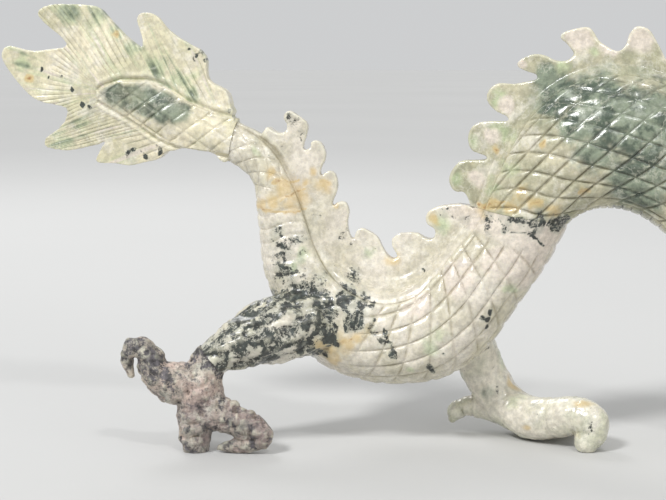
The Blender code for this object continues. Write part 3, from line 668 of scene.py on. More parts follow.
# Stains through the stone, on the side drawing: x, z, radius
DARK_STAINS = [
    (94, 47, 3.0), (107, 45, 3.2), (110, 39, 2.6), (103, 33, 2.4), (101, 28, 1.8), (94, 31, 2.0),
    (70, 30.5, 2.6), (112, 43, 1.2), (69.5, 26.2, 1.4), (120, 33, 0.9), (120, 36, 0.8), (121, 30, 1.2),
    (147, 40, 1.2), (148, 38, 0.9), (148, 42, 0.9), (116, 40, 0.9), (115, 43, 0.8), (129, 53, 0.6),
    (132, 25, 0.9), (136, 30, 0.6), (154, 70, 1.0), (158, 69.5, 1.5), (163, 69, 1.8), (168, 68, 2.2),
    (170, 68.5, 1.6), (152, 66.8, 0.9),
]
# Dark strokes: start x, z, end x, z, half width
DARK_STROKES = [
    (87.5, 64, 89, 62, 0.4), (85, 60.5, 87.5, 58.8, 0.5), (92.5, 62.5, 94.5, 60.8, 0.35),
    (86.5, 54.5, 89, 53, 0.7), (90, 51.5, 92.5, 53, 0.6), (93, 45, 93.5, 36, 1.9),
    (99.5, 46, 101, 35, 1.8), (106, 46, 108, 37, 1.2), (97, 33, 98.5, 27.5, 1.8),
    (104, 37, 104.5, 31, 0.9), (88, 46, 78, 37.5, 1.5), (87, 41, 76, 32, 1.2), (84, 46, 74, 38, 1.0),
    (80, 41, 70, 33, 1.2), (92, 33, 82, 28.5, 1.5), (78, 29, 71, 25.5, 1.1), (119.6, 37, 120.4, 31, 0.5),
    (151, 68.8, 155, 65.8, 0.3), (155, 65.8, 161, 64, 0.35), (161, 64, 164.5, 61.8, 0.55),
    (156, 69.5, 164, 68.3, 0.8), (171, 62, 169, 57.5, 0.4),
]
# Broken dark mottling: it shows only as grit
DARK_CLOUDS = [
    (87, 63.5, 3.6), (93, 62, 3.2), (87, 58.5, 4.0), (88, 53, 4.6), (92, 51, 4.0), (94, 57, 2.6),
    (111, 42, 4.5), (115, 37, 3.2), (118, 33, 2.6), (108, 50, 3.4), (112, 46, 3.0), (148, 70, 2.5),
    (154, 69, 3.5), (161, 67.5, 3.5), (99, 50, 4.0), (72, 33, 5),
]
FAN_DARK = [
    (26, 101, 0.9), (28, 100, 0.8), (19, 109, 0.4), (22, 106, 0.6), (12, 111, 0.6), (45, 86, 1.1),
    (41, 87, 0.9), (40, 86, 0.7), (62, 117, 0.8), (59, 118, 0.6), (49, 87, 0.8), (63, 114, 0.6),
    (70, 99, 0.8), (15, 109, 0.5), (61, 115.6, 0.5), (64, 112.5, 0.5),
]
FAN_HAZE = [(45, 86, 4.5), (39, 86, 3.5), (61, 116, 3), (27, 100.5, 3), (17, 89, 3), (66, 88, 2)]
IRON_STAINS = [
    (88, 76.5, 3.6), (92, 75, 2.8), (85.5, 73, 2.6), (90, 72, 2.4), (81.5, 71.5, 1.8), (84, 80, 2.2),
    (94, 77.5, 1.5), (99.3, 77, 3.0), (103.2, 71.5, 1.3), (101.5, 29.5, 3.8), (107, 32, 3.4),
    (104, 27, 2.4), (111, 34, 3.0), (114, 37, 1.8), (149, 72.5, 1.8), (145.5, 71, 2.2), (151, 73, 1.2),
    (161.7, 73.7, 3.4), (167.5, 71.8, 2.6), (155, 73.5, 2.0), (158, 76, 2.2), (150, 88, 1.5),
    (175.2, 77.5, 1.7), (163, 91, 1.0), (120, 55.5, 2.6), (133, 68, 1.8), (96, 82, 1.6),
]
# Rust cores inside the ochre stains
RUST_STROKES = [
    (78.5, 71.5, 86, 69.8, 0.6), (86, 69.8, 93, 70.5, 0.4), (84, 77.5, 92, 79, 0.4),
    (88, 74, 94, 75.5, 0.4), (100, 30, 103, 29, 0.9), (105, 31.5, 109, 33.5, 0.7),
    (144, 71.5, 149.5, 73, 0.9), (150, 72.5, 153, 74.5, 0.4), (160, 73, 163, 74.5, 1.2),
    (174, 77.2, 176.6, 77.6, 0.8), (149.6, 88, 150.4, 88.2, 0.8), (103, 71, 103.3, 72, 0.9),
    (162.6, 91, 163.6, 91.4, 0.6), (98.6, 78.6, 100.4, 77.4, 0.8),
]
FAN_IRON = [(36, 122, 1.1), (8, 109, 1.2)]
GREEN_STAINS = [
    (168, 104, 7.5), (179, 100, 12), (190, 97, 13.5), (177, 89, 6), (191, 81, 10.5), (195, 75, 4.5),
    (172, 95, 5.4), (165, 103, 4.5), (164, 110, 3.6), (206, 96, 12), (216, 84, 9),
]
FAN_LEAF_GREEN = [(36.5, 104, 3.8), (41, 103, 4.4), (46, 101.5, 4.8), (51, 100, 4.8), (55.5, 98.5, 3.6)]
FAN_GREEN = [
    (22, 129, 6), (30, 128, 6), (37, 123, 5), (42, 118, 5), (49, 112, 6), (55, 108, 6), (59, 104, 4.5),
    (18, 90, 6), (24, 94, 4), (6, 114, 4), (60, 110, 3),
]
MINT_STAINS = [
    (151, 94, 6), (154, 83, 5.4), (150, 77, 3.6), (151, 104, 3.6), (132, 31, 4.6), (135, 35, 3.4),
    (125, 24, 2.4), (155, 49, 3), (134, 67, 4.5), (94, 57, 4.2), (79, 88, 3), (91, 54, 3), (113, 57, 3),
    (168, 112, 4), (178, 116, 3), (142, 90, 3), (139, 79, 3), (150, 102, 3),
]
# Soft grey clouds in the hind body
HAZE_STAINS = [
    (90, 97, 3), (98, 89, 2), (92, 92, 2.5), (104, 62, 4), (112, 58, 3), (86, 87, 3), (80, 91, 2.5),
    (98, 68, 3), (90, 62, 6), (108, 40, 6), (136, 70, 3),
]
PINK_STAINS = [
    (163, 63, 6), (160, 55, 6), (152, 57, 6), (169, 66, 3.6), (173, 120, 5), (190, 121, 5),
    (183, 118, 3.5), (153, 101, 3), (149, 92, 3), (200, 116, 4), (145, 80, 2.5), (155, 113, 2.5),
    (140, 52, 6), (128, 44, 5),
]


def scene_settings():
    """The dragon's settings in this scene."""
    return bpy.context.scene.stone_dragon


def worked_surface(points):
    """The slight unevenness that hand grinding leaves."""
    return 0.26 * lumps(points, 10.5, 13) + 0.09 * lumps(points, 3.6, 14)


def limb_gap(points, rows):
    """Distance from the skin of a limb, below zero inside it."""
    rows = smooth_rows(rows, 6)
    gap = np.full(len(points), np.inf)
    for x, y, z, radius in rows:
        gap = np.minimum(gap, np.linalg.norm(points - (x, y, z), axis=1) - radius)
    return gap


def scale_cuts(stone, first, second, pitches, mask, depth):
    """Cut a net of lines and pillow the scales between them."""
    depth = depth * scene_settings().scale_depth / USUAL_SCALE_DEPTH
    gap = np.minimum(line_gap(first, pitches[0]), line_gap(second, pitches[1]))
    pillow = 1 - np.exp(-(gap / 1.7) ** 2)
    stone.grid[:, 0] = np.where(mask > 0.01, first, stone.grid[:, 0])
    stone.grid[:, 1] = np.where(mask > 0.01, second, stone.grid[:, 1])
    stone.grid[:, 2] = np.maximum(stone.grid[:, 2], mask)
    return mask * depth * (0.75 * pillow - 0.45 - 0.75 * cut_line(gap, 0.5))


def diamond_net(stone, wave, pitches, mask, depth):
    """Scales between two sets of slanted lines that run round the body."""
    first = (0.82 * stone.girth + 0.58 * stone.s + wave + 60) / pitches[0]
    second = (0.82 * stone.girth - 0.58 * stone.s + wave + 90) / pitches[1]
    return scale_cuts(stone, first, second, pitches, mask, depth)


def crest_rim(stone):
    """Millimetres above the groove under the crest."""
    return (stone.h - stone.border) * stone.depth


def belly_rim(stone):
    """Millimetres inside the edge of the belly band."""
    return (stone.turn - (math.pi - BELLY_BAND)) * (stone.half + stone.depth) / 2


def body_bands(stone, depth):
    """The groove under the crest band and the cross-cut band along the belly."""
    rim = crest_rim(stone)
    deep = 1 + 1.1 * ease(0.93, 0.80, stone.border)
    carve = -1.15 * depth * deep * cut_line(rim, 0.62) + 0.5 * depth * cut_line(rim - 1.5, 0.7)
    edge = belly_rim(stone)
    carve -= 0.9 * depth * cut_line(edge, 0.5)
    carve += 0.5 * depth * cut_line(edge + 1.3, 0.7)
    belly = ease(0.2, 1.2, edge)
    carve -= belly * depth * 0.9 * cut_line(line_gap(stone.s / 5, 5), 0.55)
    return carve


def below_crest(stone):
    """1 on the flanks between the crest groove and the belly band."""
    return (1 - ease(-1.2, -0.2, crest_rim(stone))) * (1 - ease(-0.9, -0.2, belly_rim(stone)))


def on_body(stone, near=1.2, far=2.6):
    """1 on the body's own skin, 0 on the crest and limbs that stand off it."""
    return 1 - ease(near, far, stone.off)


def mark_stains(stone, spots, stroke_share):
    """The dark, rust, mint and pink stains that run through the hind and middle stones."""
    stone.zone["dark"] = np.maximum(stains(spots, DARK_STAINS), stroke_share * strokes(spots, DARK_STROKES))
    stone.zone["iron"] = np.maximum(0.62 * stains(spots, IRON_STAINS), 0.9 * strokes(spots, RUST_STROKES))
    stone.zone["mint"] = stains(spots, MINT_STAINS)
    stone.zone["pink"] = stains(spots, PINK_STAINS)


def spread_stains(stone, warp=1.6):
    """Let the stains meander a little from their round drawing."""
    shift = np.stack([lumps(stone.points, 4.5, seed) * warp + lumps(stone.points, 1.5, seed + 5) * 0.55
                      for seed in (71, 72, 73)], axis=1)
    return stone.points + shift


def fan_barbs(flat):
    """Count of barbs round the fan, and distance along them from the quill or its tip."""
    path = smooth_rows(FAN_QUILL, 10)
    run = np.concatenate(((0,), np.cumsum(np.linalg.norm(np.diff(path, axis=0), axis=1))))
    grain = np.arange(0, run[-1], 0.6)
    spots = np.stack([np.interp(grain, run, path[:, axis]) for axis in (0, 1)], axis=1)
    heading = np.gradient(spots, axis=0)
    heading /= np.linalg.norm(heading, axis=1)[:, None]
    quill = list(zip(spots, heading, grain / run[-1]))
    upper = [(spot, way, math.radians(-(44 - 8 * part))) for spot, way, part in quill]
    lower = [(spot, way, math.radians(40 - 4 * part)) for spot, way, part in quill]
    tip = [(spots[-1], heading[-1], math.radians(angle)) for angle in np.arange(-35, 35.5, 1.4)]
    starts, ways = [], []
    for spot, way, angle in upper + tip + lower[::-1]:
        starts.append(spot)
        ways.append((way[0] * math.cos(angle) - way[1] * math.sin(angle),
                     way[0] * math.sin(angle) + way[1] * math.cos(angle)))
    starts, ways = np.array(starts), np.array(ways)
    barb, reach = np.zeros(len(flat)), np.zeros(len(flat))
    for start in range(0, len(flat), STRIP):
        offset = flat[start:start + STRIP, None] - starts[None]
        across = offset[..., 0] * ways[:, 1] - offset[..., 1] * ways[:, 0]
        along = (offset * ways).sum(axis=2)
        miss = np.abs(across) + 3 * np.maximum(0, -along) + 0.004 * along
        pick = np.clip(miss.argmin(axis=1), 1, len(starts) - 2)
        rows = np.arange(len(pick))
        here = across[rows, pick]
        other = np.where(across[rows, pick + 1] * here < 0, pick + 1, pick - 1)
        there = across[rows, other]
        part = np.clip(here / np.where(np.abs(here - there) < 1e-6, 1e-6, here - there), 0, 1)
        barb[start:start + STRIP] = pick + (other - pick) * part
        reach[start:start + STRIP] = along[rows, pick]
    return barb, reach


def leaf_edge(flat):
    """Millimetres inside the fan's leaf-shaped ridge, below zero outside it."""
    low = np.interp(flat[:, 0], (30, 33, 40, 49, 55, 62, 70), (103, 101, 97, 91, 88.6, 87.4, 86.5))
    high = np.interp(flat[:, 0], (30, 32, 38, 46, 52, 58, 66, 72),
                     (104.4, 106, 108, 108, 106, 102, 98.5, 97))
    leaf = np.minimum(flat[:, 1] - low, high - flat[:, 1])
    return np.where(flat[:, 0] < 30.5, -5, leaf)


def carve_tail_fan():
    """The flame-shaped tail: a bowed plate with cut barbs and a scaled leaf-shaped ridge."""
    ridge = Spine(FAN_RIDGE)
    line = ridge.middle

    def thickness(points):
        gap = np.linalg.norm(points[:, None] - line[None, ::3], axis=2).min(axis=1)
        return 6.8 + (2.7 - 6.8) * ease(0, 26, gap)

    def bow(points):
        wave = 1.7 * np.sin(points[:, 0] / 9.0 + 0.6) * np.sin(points[:, 1] / 8.0)
        return wave * ease(80, 40, points[:, 0])
    solids = bmesh.new()
    add_body(solids, FAN_RIDGE, 2.0, sides=40)
    add_plate(solids, smooth_loop(FAN_OUTLINE), thickness, bow, 1.5)
    stone = Stone("tail_fan", solids)
    stone.follow(ridge)
    points = stone.points
    flat = points[:, (0, 2)]
    barb, reach = fan_barbs(flat)
    barb = barb / 3.3 + 0.16 * lumps(points, 16, 5) + 0.08 * lumps(points, 6, 6)
    leaf = leaf_edge(flat)
    inside = ease(-0.4, 0.6, leaf)
    on_leaf = inside > 0.5
    first = np.where(on_leaf, (-0.57 * flat[:, 0] + 0.82 * flat[:, 1]) / LEAF_PITCHES[0], barb)
    second = np.where(on_leaf, (0.57 * flat[:, 0] + 0.82 * flat[:, 1]) / LEAF_PITCHES[1], 0.0)
    net_gap = np.minimum(line_gap(first, LEAF_PITCHES[0]), line_gap(second, LEAF_PITCHES[1]))
    gap = np.where(on_leaf, net_gap, line_gap(first, BARB_PITCH))
    side = ease(0.4, 1.3, np.abs(points[:, 1]))
    fine = 1 - ease(66, 72, flat[:, 0]) * (1 - inside)
    outward = 0.35 + 0.65 * ease(1, 6, -leaf) * (1 - inside) + 0.6 * inside
    faint = (0.4 + 0.6 * ease(-0.5, 0.4, lumps(points, 9, 17))) * outward
    stone.grid[:] = np.stack((first, second, 0.75 * side * fine * faint), axis=1)
    carve = -side * fine * faint * (0.24 + 0.25 * inside) * cut_line(gap, 0.32 + 0.12 * inside)
    carve += 0.42 * inside - 0.45 * cut_line(leaf + 0.7, 0.5) + 0.3 * cut_line(leaf + 2.0, 0.7)
    carve += worked_surface(points)
    stone.push(carve)
    spots = spread_stains(stone, 1.0)
    streak, fine_streak = (
        0.5 + 0.5 * lumps(np.stack((barb * close, reach / long, barb * 0), axis=1), 1, seed)
        for close, long, seed in ((0.8, 16, 21), (2.6, 22, 22)))
    stripe = ease(0.2, 0.7, 0.45 * streak + 0.55 * fine_streak)
    leafy = 0.62 * np.minimum(1, 1.6 * stains(spots, FAN_LEAF_GREEN)) * inside
    greener = stains(spots, FAN_GREEN) * (1 - inside)
    haze = 0.36 * stains(spots, FAN_HAZE) * (0.4 + 0.6 * stripe)
    stone.zone["green"] = np.maximum(leafy, greener * stripe * 0.6)
    stone.zone["dark"] = np.maximum(stains(spots, FAN_DARK), haze)
    stone.zone["iron"] = stains(spots, FAN_IRON)
    stone.zone["mint"] = np.maximum(greener * (0.8 + 0.4 * stripe), (0.12 + 0.66 * stripe)) * (1 - inside)
    stone.zone["pink"] = 0.7 * ease(0.55, 0.9, fine_streak) * (1 - inside) * (1 - greener)
    return stone.finish(jade("tail_fan", FAN_LOOK), [seam_cut(FAN_SEAM, False)])


def carve_hind_body():
    """The tail stem, belly and near thigh, with their crest."""
    solids = bmesh.new()
    add_body(solids, HIND_STATIONS)
    add_crest(solids, HIND_CREST, HIND_STATIONS[2:-1])
    add_tube(solids, NEAR_THIGH)
    stone = Stone("hind_body", solids)
    gap = limb_gap(stone.points, NEAR_THIGH)
    stone.blend(cut_line(gap - 2.0, 3.0) * (stone.points[:, 1] < -5), 26)
    stone.refresh()
    stone.follow(Spine(HIND_STATIONS))
    points = stone.points
    limb = 1 - ease(0.4, 3.2, limb_gap(points, NEAR_THIGH))
    free = (1 - limb) * on_body(stone)
    flank = below_crest(stone) * free
    seam_strip = ease(126, 129.5, stone.s - 0.06 * stone.girth)
    belly = ease(72, 80, stone.s) * (1 - seam_strip)
    first = (stone.girth + 0.16 * (stone.s - 78) + 0.5 * lumps(points, 14, 3)) / BELLY_SCALES[0]
    second = (stone.s + 0.34 * stone.girth + 0.7 * lumps(points, 12, 4)) / BELLY_SCALES[1]
    carve = scale_cuts(stone, first, second, BELLY_SCALES, belly * flank, HIND_CUT)
    neck = 1 - ease(20, 27, stone.s)
    first = (0.8 * stone.girth + 0.7 * stone.s + 60) / STEM_SCALES[0]
    second = (0.8 * stone.girth - 0.7 * stone.s + 60) / STEM_SCALES[1]
    carve += scale_cuts(stone, first, second, STEM_SCALES, 0.62 * neck * flank, HIND_CUT)
    carve += body_bands(stone, HIND_CUT) * free
    # Wrinkles across the stem, and chiselled facets on the thigh
    wrinkle = line_gap((stone.s + 0.3 * stone.girth + 2.2 * lumps(points, 9, 6)) / 4.6, 4.6)
    stem = ease(20, 28, stone.s) * (1 - ease(66, 76, stone.s)) * flank
    carve -= stem * 0.34 * cut_line(wrinkle, 0.6) * (0.4 + 0.6 * ease(-0.4, 0.5, lumps(points, 11, 7)))
    blade = np.stack(((points[:, 0] + 0.5 * points[:, 2]) / 9, (points[:, 2] - 0.4 * points[:, 0]) / 3.0,
                      points[:, 1] / 5), axis=1)
    chisel = np.abs(lumps(blade, 1, 8)) + 0.5 * np.abs(lumps(points, 2.6, 9))
    haunch = np.maximum(limb, stem * ease(40, 60, stone.s) * 0.7)
    carve += haunch * (1.05 * chisel - 0.5)
    carve += worked_surface(points)
    stone.push(carve)
    spots = spread_stains(stone)
    mark_stains(stone, spots, 0.8)
    smoky = seam_strip * (0.1 + 0.3 * ease(0.1, 0.9, lumps(points, 4, 15)))
    facets = np.clip(0.47 + 0.34 * lumps(blade, 1, 18) + 0.12 * lumps(points, 4, 19), 0.1, 0.9)
    hazes = (smoky, facets * limb, 0.3 * stains(spots, HAZE_STAINS), 0.5 * stains(spots, DARK_CLOUDS))
    for haze in hazes:
        stone.zone["dark"] = np.maximum(stone.zone["dark"], haze)
    stone.zone["pink"] = np.maximum(stone.zone["pink"], 0.55 * seam_strip)
    return stone.finish(jade("hind_body", BODY_LOOK), [
        seam_cut(FAN_SEAM, True), seam_cut(WAIST_SEAM, False), ankle_cut(False, ANKLE_REACH)])


def carve_mid_body():
    """The arched middle of the body, with its crest."""
    solids = bmesh.new()
    add_body(solids, MID_STATIONS)
    add_crest(solids, MID_CREST, MID_STATIONS[1:-1])
    stone = Stone("mid_body", solids)
    stone.follow(Spine(MID_STATIONS))
    points = stone.points
    lean = np.sign(stone.h) * np.maximum(0, stone.half - np.abs(points[:, 1])) * 0.7
    up = points[:, 2] + lean
    free = on_body(stone)
    flank = below_crest(stone) * free
    seam_strip = ease(4.4, 5.6, stone.s)
    turn_a, turn_b = math.radians(45), math.radians(18)
    wave = 0.5 * lumps(points, 15, 31)
    first = (-points[:, 0] * math.sin(turn_a) + up * math.cos(turn_a) + wave + 80) / ARCH_SCALES[0]
    wave = 0.5 * lumps(points, 15, 32)
    second = (points[:, 0] * math.sin(turn_b) + up * math.cos(turn_b) + wave) / ARCH_SCALES[1]
    spots = spread_stains(stone)
    green = stains(spots, GREEN_STAINS)
    worn_net = 1 - 0.6 * green * ease(84, 100, points[:, 2])
    carve = scale_cuts(stone, first, second, ARCH_SCALES, flank * seam_strip * worn_net, ARCH_CUT)
    carve += body_bands(stone, ARCH_CUT) * free
    carve += worked_surface(points)
    stone.push(carve)
    mark_stains(stone, spots, 1.0)
    stone.zone["green"] = green
    return stone.finish(jade("mid_body", ARCH_LOOK), [
        seam_cut(WAIST_SEAM, True), seam_cut(CHEST_SEAM, False)])


def carve_fore_body():
    """The chest and neck with the two shoulders, and their crest."""
    shoulders = [[(x + step, y * hand * SHOULDER_TUCK, z + SHOULDER_RISE, r * SHOULDER_GIRTH)
                  for x, y, z, r in FORE_LEG[:3]] for hand, step in FORE_SIDES]
    solids = bmesh.new()
    add_body(solids, FORE_STATIONS)
    add_crest(solids, FORE_CREST, FORE_STATIONS[1:-1])
    for rows in shoulders:
        add_tube(solids, rows)
    stone = Stone("fore_body", solids)
    gap = np.minimum(*[limb_gap(stone.points, rows) for rows in shoulders])
    stone.blend(cut_line(gap - 2.0, 3.0), 24)
    stone.refresh()
    stone.follow(Spine(FORE_STATIONS))
    points = stone.points
    shoulder = 1 - ease(0.6, 3.0, gap)
    free = (1 - shoulder) * on_body(stone)
    flank = below_crest(stone) * free
    carve = diamond_net(stone, 0.6 * lumps(points, 14, 41), CHEST_SCALES, flank, CHEST_CUT)
    carve += body_bands(stone, CHEST_CUT) * free
    carve += shoulder * (0.5 * np.abs(lumps(points, 5, 42)) - 0.2)
    carve += worked_surface(points)
    stone.push(carve)
    stone.zone["green"] = 0.5 * ease(0.1, 0.8, lumps(points, 16, 45)) + 0.25 * (1 - ease(10, 34, stone.s))
    stone.zone["mint"] = 0.5 + 0.5 * lumps(points, 9, 46)
    stone.zone["dark"] = 0.45 * ease(0.35, 0.9, lumps(points, 7, 47))
    stone.zone["iron"] = 0.5 * ease(0.5, 0.9, lumps(points, 6, 48))
    return stone.finish(jade("fore_body", BODY_LOOK), [
        seam_cut(CHEST_SEAM, True), seam_cut(NECK_SEAM, False)])


def toe_claws(points, toes):
    """Cross cuts at the knuckles: a little ring of grooves along each toe."""
    carve = np.zeros(len(points))
    for toe in toes:
        rows = smooth_rows(toe, 6)
        run = np.concatenate(((0,), np.cumsum(np.linalg.norm(np.diff(rows[:, :3], axis=0), axis=1))))
        gap = np.full(len(points), np.inf)
        along = np.zeros(len(points))
        for row, length in zip(rows, run):
            near = np.linalg.norm(points - row[:3], axis=1) - row[3]
            along = np.where(near < gap, length, along)
            gap = np.minimum(gap, near)
        share = along / run[-1]
        on_toe = (1 - ease(0.3, 1.6, gap)) * ease(0.2, 0.35, share)
        carve -= on_toe * 0.45 * cut_line((share - 0.72) * run[-1], 0.6)
        carve -= on_toe * 0.28 * cut_line((share - 0.5) * run[-1], 0.6)
    return carve


def carve_foot(name, leg, toes, look, rough, cuts, seed, web=(), knuckles=()):
    """A leg with its clawed toes, on the ground."""
    solids = bmesh.new()
    add_tube(solids, leg)
    for toe in toes:
        add_tube(solids, toe, sides=24)
    if web:
        add_tube(solids, web, sides=24)
    for spot in knuckles:
        add_ball(solids, spot)
    stone = Stone(name, solids)
    points = stone.points
    webs = np.stack([limb_gap(points, toe) for toe in toes])
    webs.sort(axis=0)
    stone.blend(cut_line(webs[1] - 1.5, 2.0) * (points[:, 2] > 1.5), 12)
    stone.refresh()
    points = stone.points
    # A foot with worn knuckles has hardly any rings left round its toes
    carve = toe_claws(points, toes) * (0.15 if knuckles else 1.0)
    carve += rough * (np.abs(lumps(points, 3.6, seed)) - 0.35) + rough * 0.5 * lumps(points, 1.7, seed + 1)
    carve -= rough * 0.5 * ease(0.35, 0.8, np.abs(lumps(points, 2.3, seed + 8)))
    carve += 0.22 * lumps(points, 8, seed + 2)
    stone.push(carve * ease(-0.5, 1.2, points[:, 2]))
    patches = 0.25 + 0.22 * lumps(points, 6.5, seed + 3) + 0.12 * lumps(points, 2.4, seed + 7)
    stone.zone["dark"] = look["fleck"] * np.clip(patches + 0.16 * ease(17, 24, points[:, 2]), 0, 1)
    stone.zone["green"] = 0.6 * ease(0.1, 0.9, lumps(points, 7, seed + 4)) * look["streak"]
    stone.zone["mint"] = (0.5 + 0.5 * lumps(points, 6, seed + 5)) * look["streak"]
    stone.zone["iron"] = 0.6 * ease(0.45, 0.95, lumps(points, 5, seed + 6)) * look["streak"]
    return stone.finish(jade(name, look), cuts, floor=True)


# Features of the head, on its far side: x, y, z, radius along each
BROW = [
    (283, 8.5, 115, 3.0), (288, 9.8, 118, 3.8), (294, 10.4, 117.8, 3.8), (300, 9.2, 114.5, 3.0),
    (304.5, 7, 110.5, 1.8),
]
EYE = (295.5, 9.3, 110.8, 4.2)
PUPIL = (296.5, 13.2, 111.4)
LID = [
    (290, 10.2, 109.5, 1.5), (292.5, 12.0, 107.6, 1.5), (296, 12.6, 106.9, 1.5),
    (299.5, 11.6, 108.2, 1.3), (302, 9.4, 110.2, 1.0),
]
NOSTRIL = (329.5, 4.6, 106.6, 3.6)
NOSTRIL_HOLE = (332.2, 6.4, 106.2)
SNOUT_CURL = [
    (312, 8.0, 100.5, 1.8), (317, 9.0, 103.5, 2.0), (322, 8.8, 106.2, 2.2), (326, 7.2, 108.6, 2.2),
    (330, 4.8, 109.6, 1.8),
]
LIP = [
    (298, 10.4, 94.6, 1.6), (305, 9.6, 94.2, 1.7), (313, 9.0, 93.9, 1.7), (321, 8.6, 94.2, 1.7),
    (328, 7.4, 95.4, 1.7), (332.4, 3.8, 97.2, 1.5),
]
CHEEK_LOCKS = [
    [(288, 9, 104, 5.4), (278, 13, 108.5, 4.4), (269.5, 14.5, 114, 3.0), (262.5, 15, 119.5, 1.0)],
    [(286, 9, 100, 6.0), (276, 13, 103, 5.0), (267, 14.5, 109, 3.6), (259, 15, 113, 1.2)],
    [(286, 9, 96, 6.0), (277, 13.5, 95.5, 5.0), (268, 15, 99.5, 3.6), (260, 15.5, 103, 1.2)],
    [(288, 8, 92, 5.6), (283, 12.5, 89, 4.6), (277, 14.5, 89, 3.4), (271, 15.5, 92, 1.2)],
    [(290, 7, 89, 4.8), (287, 10.5, 84.5, 3.8), (282, 12, 82.2, 2.8), (276.5, 12.5, 83.5, 1.0)],
]
BEARD = [
    [(318, 0, 80.5, 4.2), (315.5, 0, 75, 3.6), (309.5, 0, 71.5, 2.6), (303, 0, 70.6, 1.0)],
    [(312, 3.0, 80.5, 3.2), (308.5, 4.2, 76.2, 2.8), (303, 4.8, 74.2, 2.0), (297.5, 5.0, 75.2, 0.9)],
]
EAR = [(281, 10.5, 111.5, 2.6), (276.5, 13.2, 115.5, 3.0), (271, 15.4, 120, 2.2), (267.5, 16.4, 123.6, 0.9)]
FANGS = [
    [(324.5, 6.6, 95.2, 1.5), (324.9, 6.7, 91.4, 1.1), (324.4, 6.5, 88.4, 0.5)],
    [(318.5, 5.4, 83.5, 1.3), (319.2, 5.6, 87.0, 0.9), (318.9, 5.5, 89.8, 0.45)],
]
TOOTH_ROW = [(x, 7.2 - 0.05 * (x - 300), 93.6) for x in (303, 306.6, 310.2, 313.8, 317.4, 321)]


def mirrored(rows):
    """The same feature on the other side."""
    return [(row[0], -row[1], *row[2:]) for row in rows]


def carve_head():
    """The head with its jaw, brows, eyes, locks, teeth and beard."""
    solids = bmesh.new()
    add_body(solids, HEAD_STATIONS, 3.0, sides=64)
    add_body(solids, JAW_STATIONS, 3.0, sides=48)
    add_crest(solids, HEAD_CREST, HEAD_STATIONS[1:5])
    for rows in [BROW, LID, SNOUT_CURL, LIP, EAR, BEARD[1]] + CHEEK_LOCKS + FANGS:
        add_tube(solids, rows, sides=20)
        add_tube(solids, mirrored(rows), sides=20)
    add_tube(solids, BEARD[0], sides=20)
    for x, y, z in TOOTH_ROW:
        tooth = [(x, -y, z + 1, 1.3), (x, -y, z - 1.4, 1.0), (x, -y, z - 2.6, 0.5)]
        add_tube(solids, tooth, sides=12)
        add_tube(solids, mirrored(tooth), sides=12)
    for spot in (EYE, NOSTRIL):
        for ball in (spot, mirrored([spot])[0]):
            add_ball(solids, ball)
    stone = Stone("head", solids, 2)
    stone.follow(Spine(HEAD_STATIONS))
    points = stone.points
    folded = np.abs(points[:, 1])
    side = np.stack((points[:, 0], folded, points[:, 2]), axis=1)
    neck = (1 - ease(20, 28, stone.s)) * on_body(stone, 0.8, 2.0) * below_crest(stone)
    carve = diamond_net(stone, 0.6 * lumps(points, 14, 51), NECK_SCALES, neck, NECK_CUT)
    # Nostril holes, pupils and the wavy cuts along the locks
    carve -= 1.9 * cut_line(np.linalg.norm(side - NOSTRIL_HOLE, axis=1), 1.5)
    pupil = np.linalg.norm(side - PUPIL, axis=1)
    carve += -0.9 * cut_line(pupil, 1.0) + 0.35 * cut_line(pupil - 2.2, 0.5)
    locks = np.minimum.reduce([limb_gap(side, rows) for rows in CHEEK_LOCKS + [EAR]])
    hair = 1 - ease(0.3, 1.2, locks)
    strand = line_gap((points[:, 2] + 0.3 * points[:, 0] + 1.5 * np.sin(points[:, 0] / 5)) / 2.2, 2.2)
    carve -= hair * 0.36 * cut_line(strand, 0.42)
    # Ripples over the snout and the brows
    snout = ease(303, 309, points[:, 0]) * (points[:, 2] > 98)
    ripple = line_gap((points[:, 0] + 0.25 * folded) / 3.1, 3.1)
    carve -= snout * 0.36 * cut_line(ripple, 0.5) * (1 - ease(324, 327, points[:, 0]))
    brow = 1 - ease(0.3, 1.2, limb_gap(side, BROW))
    carve -= brow * 0.4 * cut_line(line_gap((points[:, 0] + points[:, 2]) / 2.6, 2.6), 0.45)
    carve += worked_surface(points) * (0.5 + 0.5 * ease(0, 14, stone.s))
    stone.push(carve)
    stone.zone["green"] = 0.55 * ease(0.2, 0.9, lumps(points, 15, 54))
    stone.zone["mint"] = 0.5 + 0.5 * lumps(points, 9, 55)
    stone.zone["dark"] = np.maximum(0.4 * ease(0.5, 0.95, lumps(points, 6, 56)), 0.9 * cut_line(pupil, 1.0))
    stone.zone["iron"] = 0.5 * ease(0.5, 0.95, lumps(points, 5, 57))
    return stone.finish(jade("head", BODY_LOOK), [seam_cut(NECK_SEAM, True)])


def carve_horn(name, hand):
    """A ringed horn with a short fork."""
    rows = [(x, y * hand, z, r) for x, y, z, r in HORN]
    solids = bmesh.new()
    add_tube(solids, rows, sides=32, steps=8)
    fork = [(276.5, 8.4 * hand, 126, 2.2), (273, 9.6 * hand, 129.0, 1.6), (270, 10.4 * hand, 130.4, 0.8)]
    add_tube(solids, fork, sides=20)
    stone = Stone(name, solids, 3)
    run = 283.5 - stone.points[:, 0]
    ring = line_gap((run + 0.35 * stone.points[:, 2]) / 2.6, 2.6)
    stone.push(-0.24 * cut_line(ring, 0.4) * (1 - ease(22, 26, run)) + 0.1 * lumps(stone.points, 3, 61))
    stone.zone["mint"] = 0.5 + 0.5 * lumps(stone.points, 6, 62)
    return stone.finish(jade(name, HORN_LOOK), [seat_cut(rows)])


def linear(colour):
    """A colour as seen to a colour in light."""
    return tuple(c / 12.92 if c <= 0.04045 else ((c + 0.055) / 1.055) ** 2.4 for c in colour[:3]) + (1.0,)


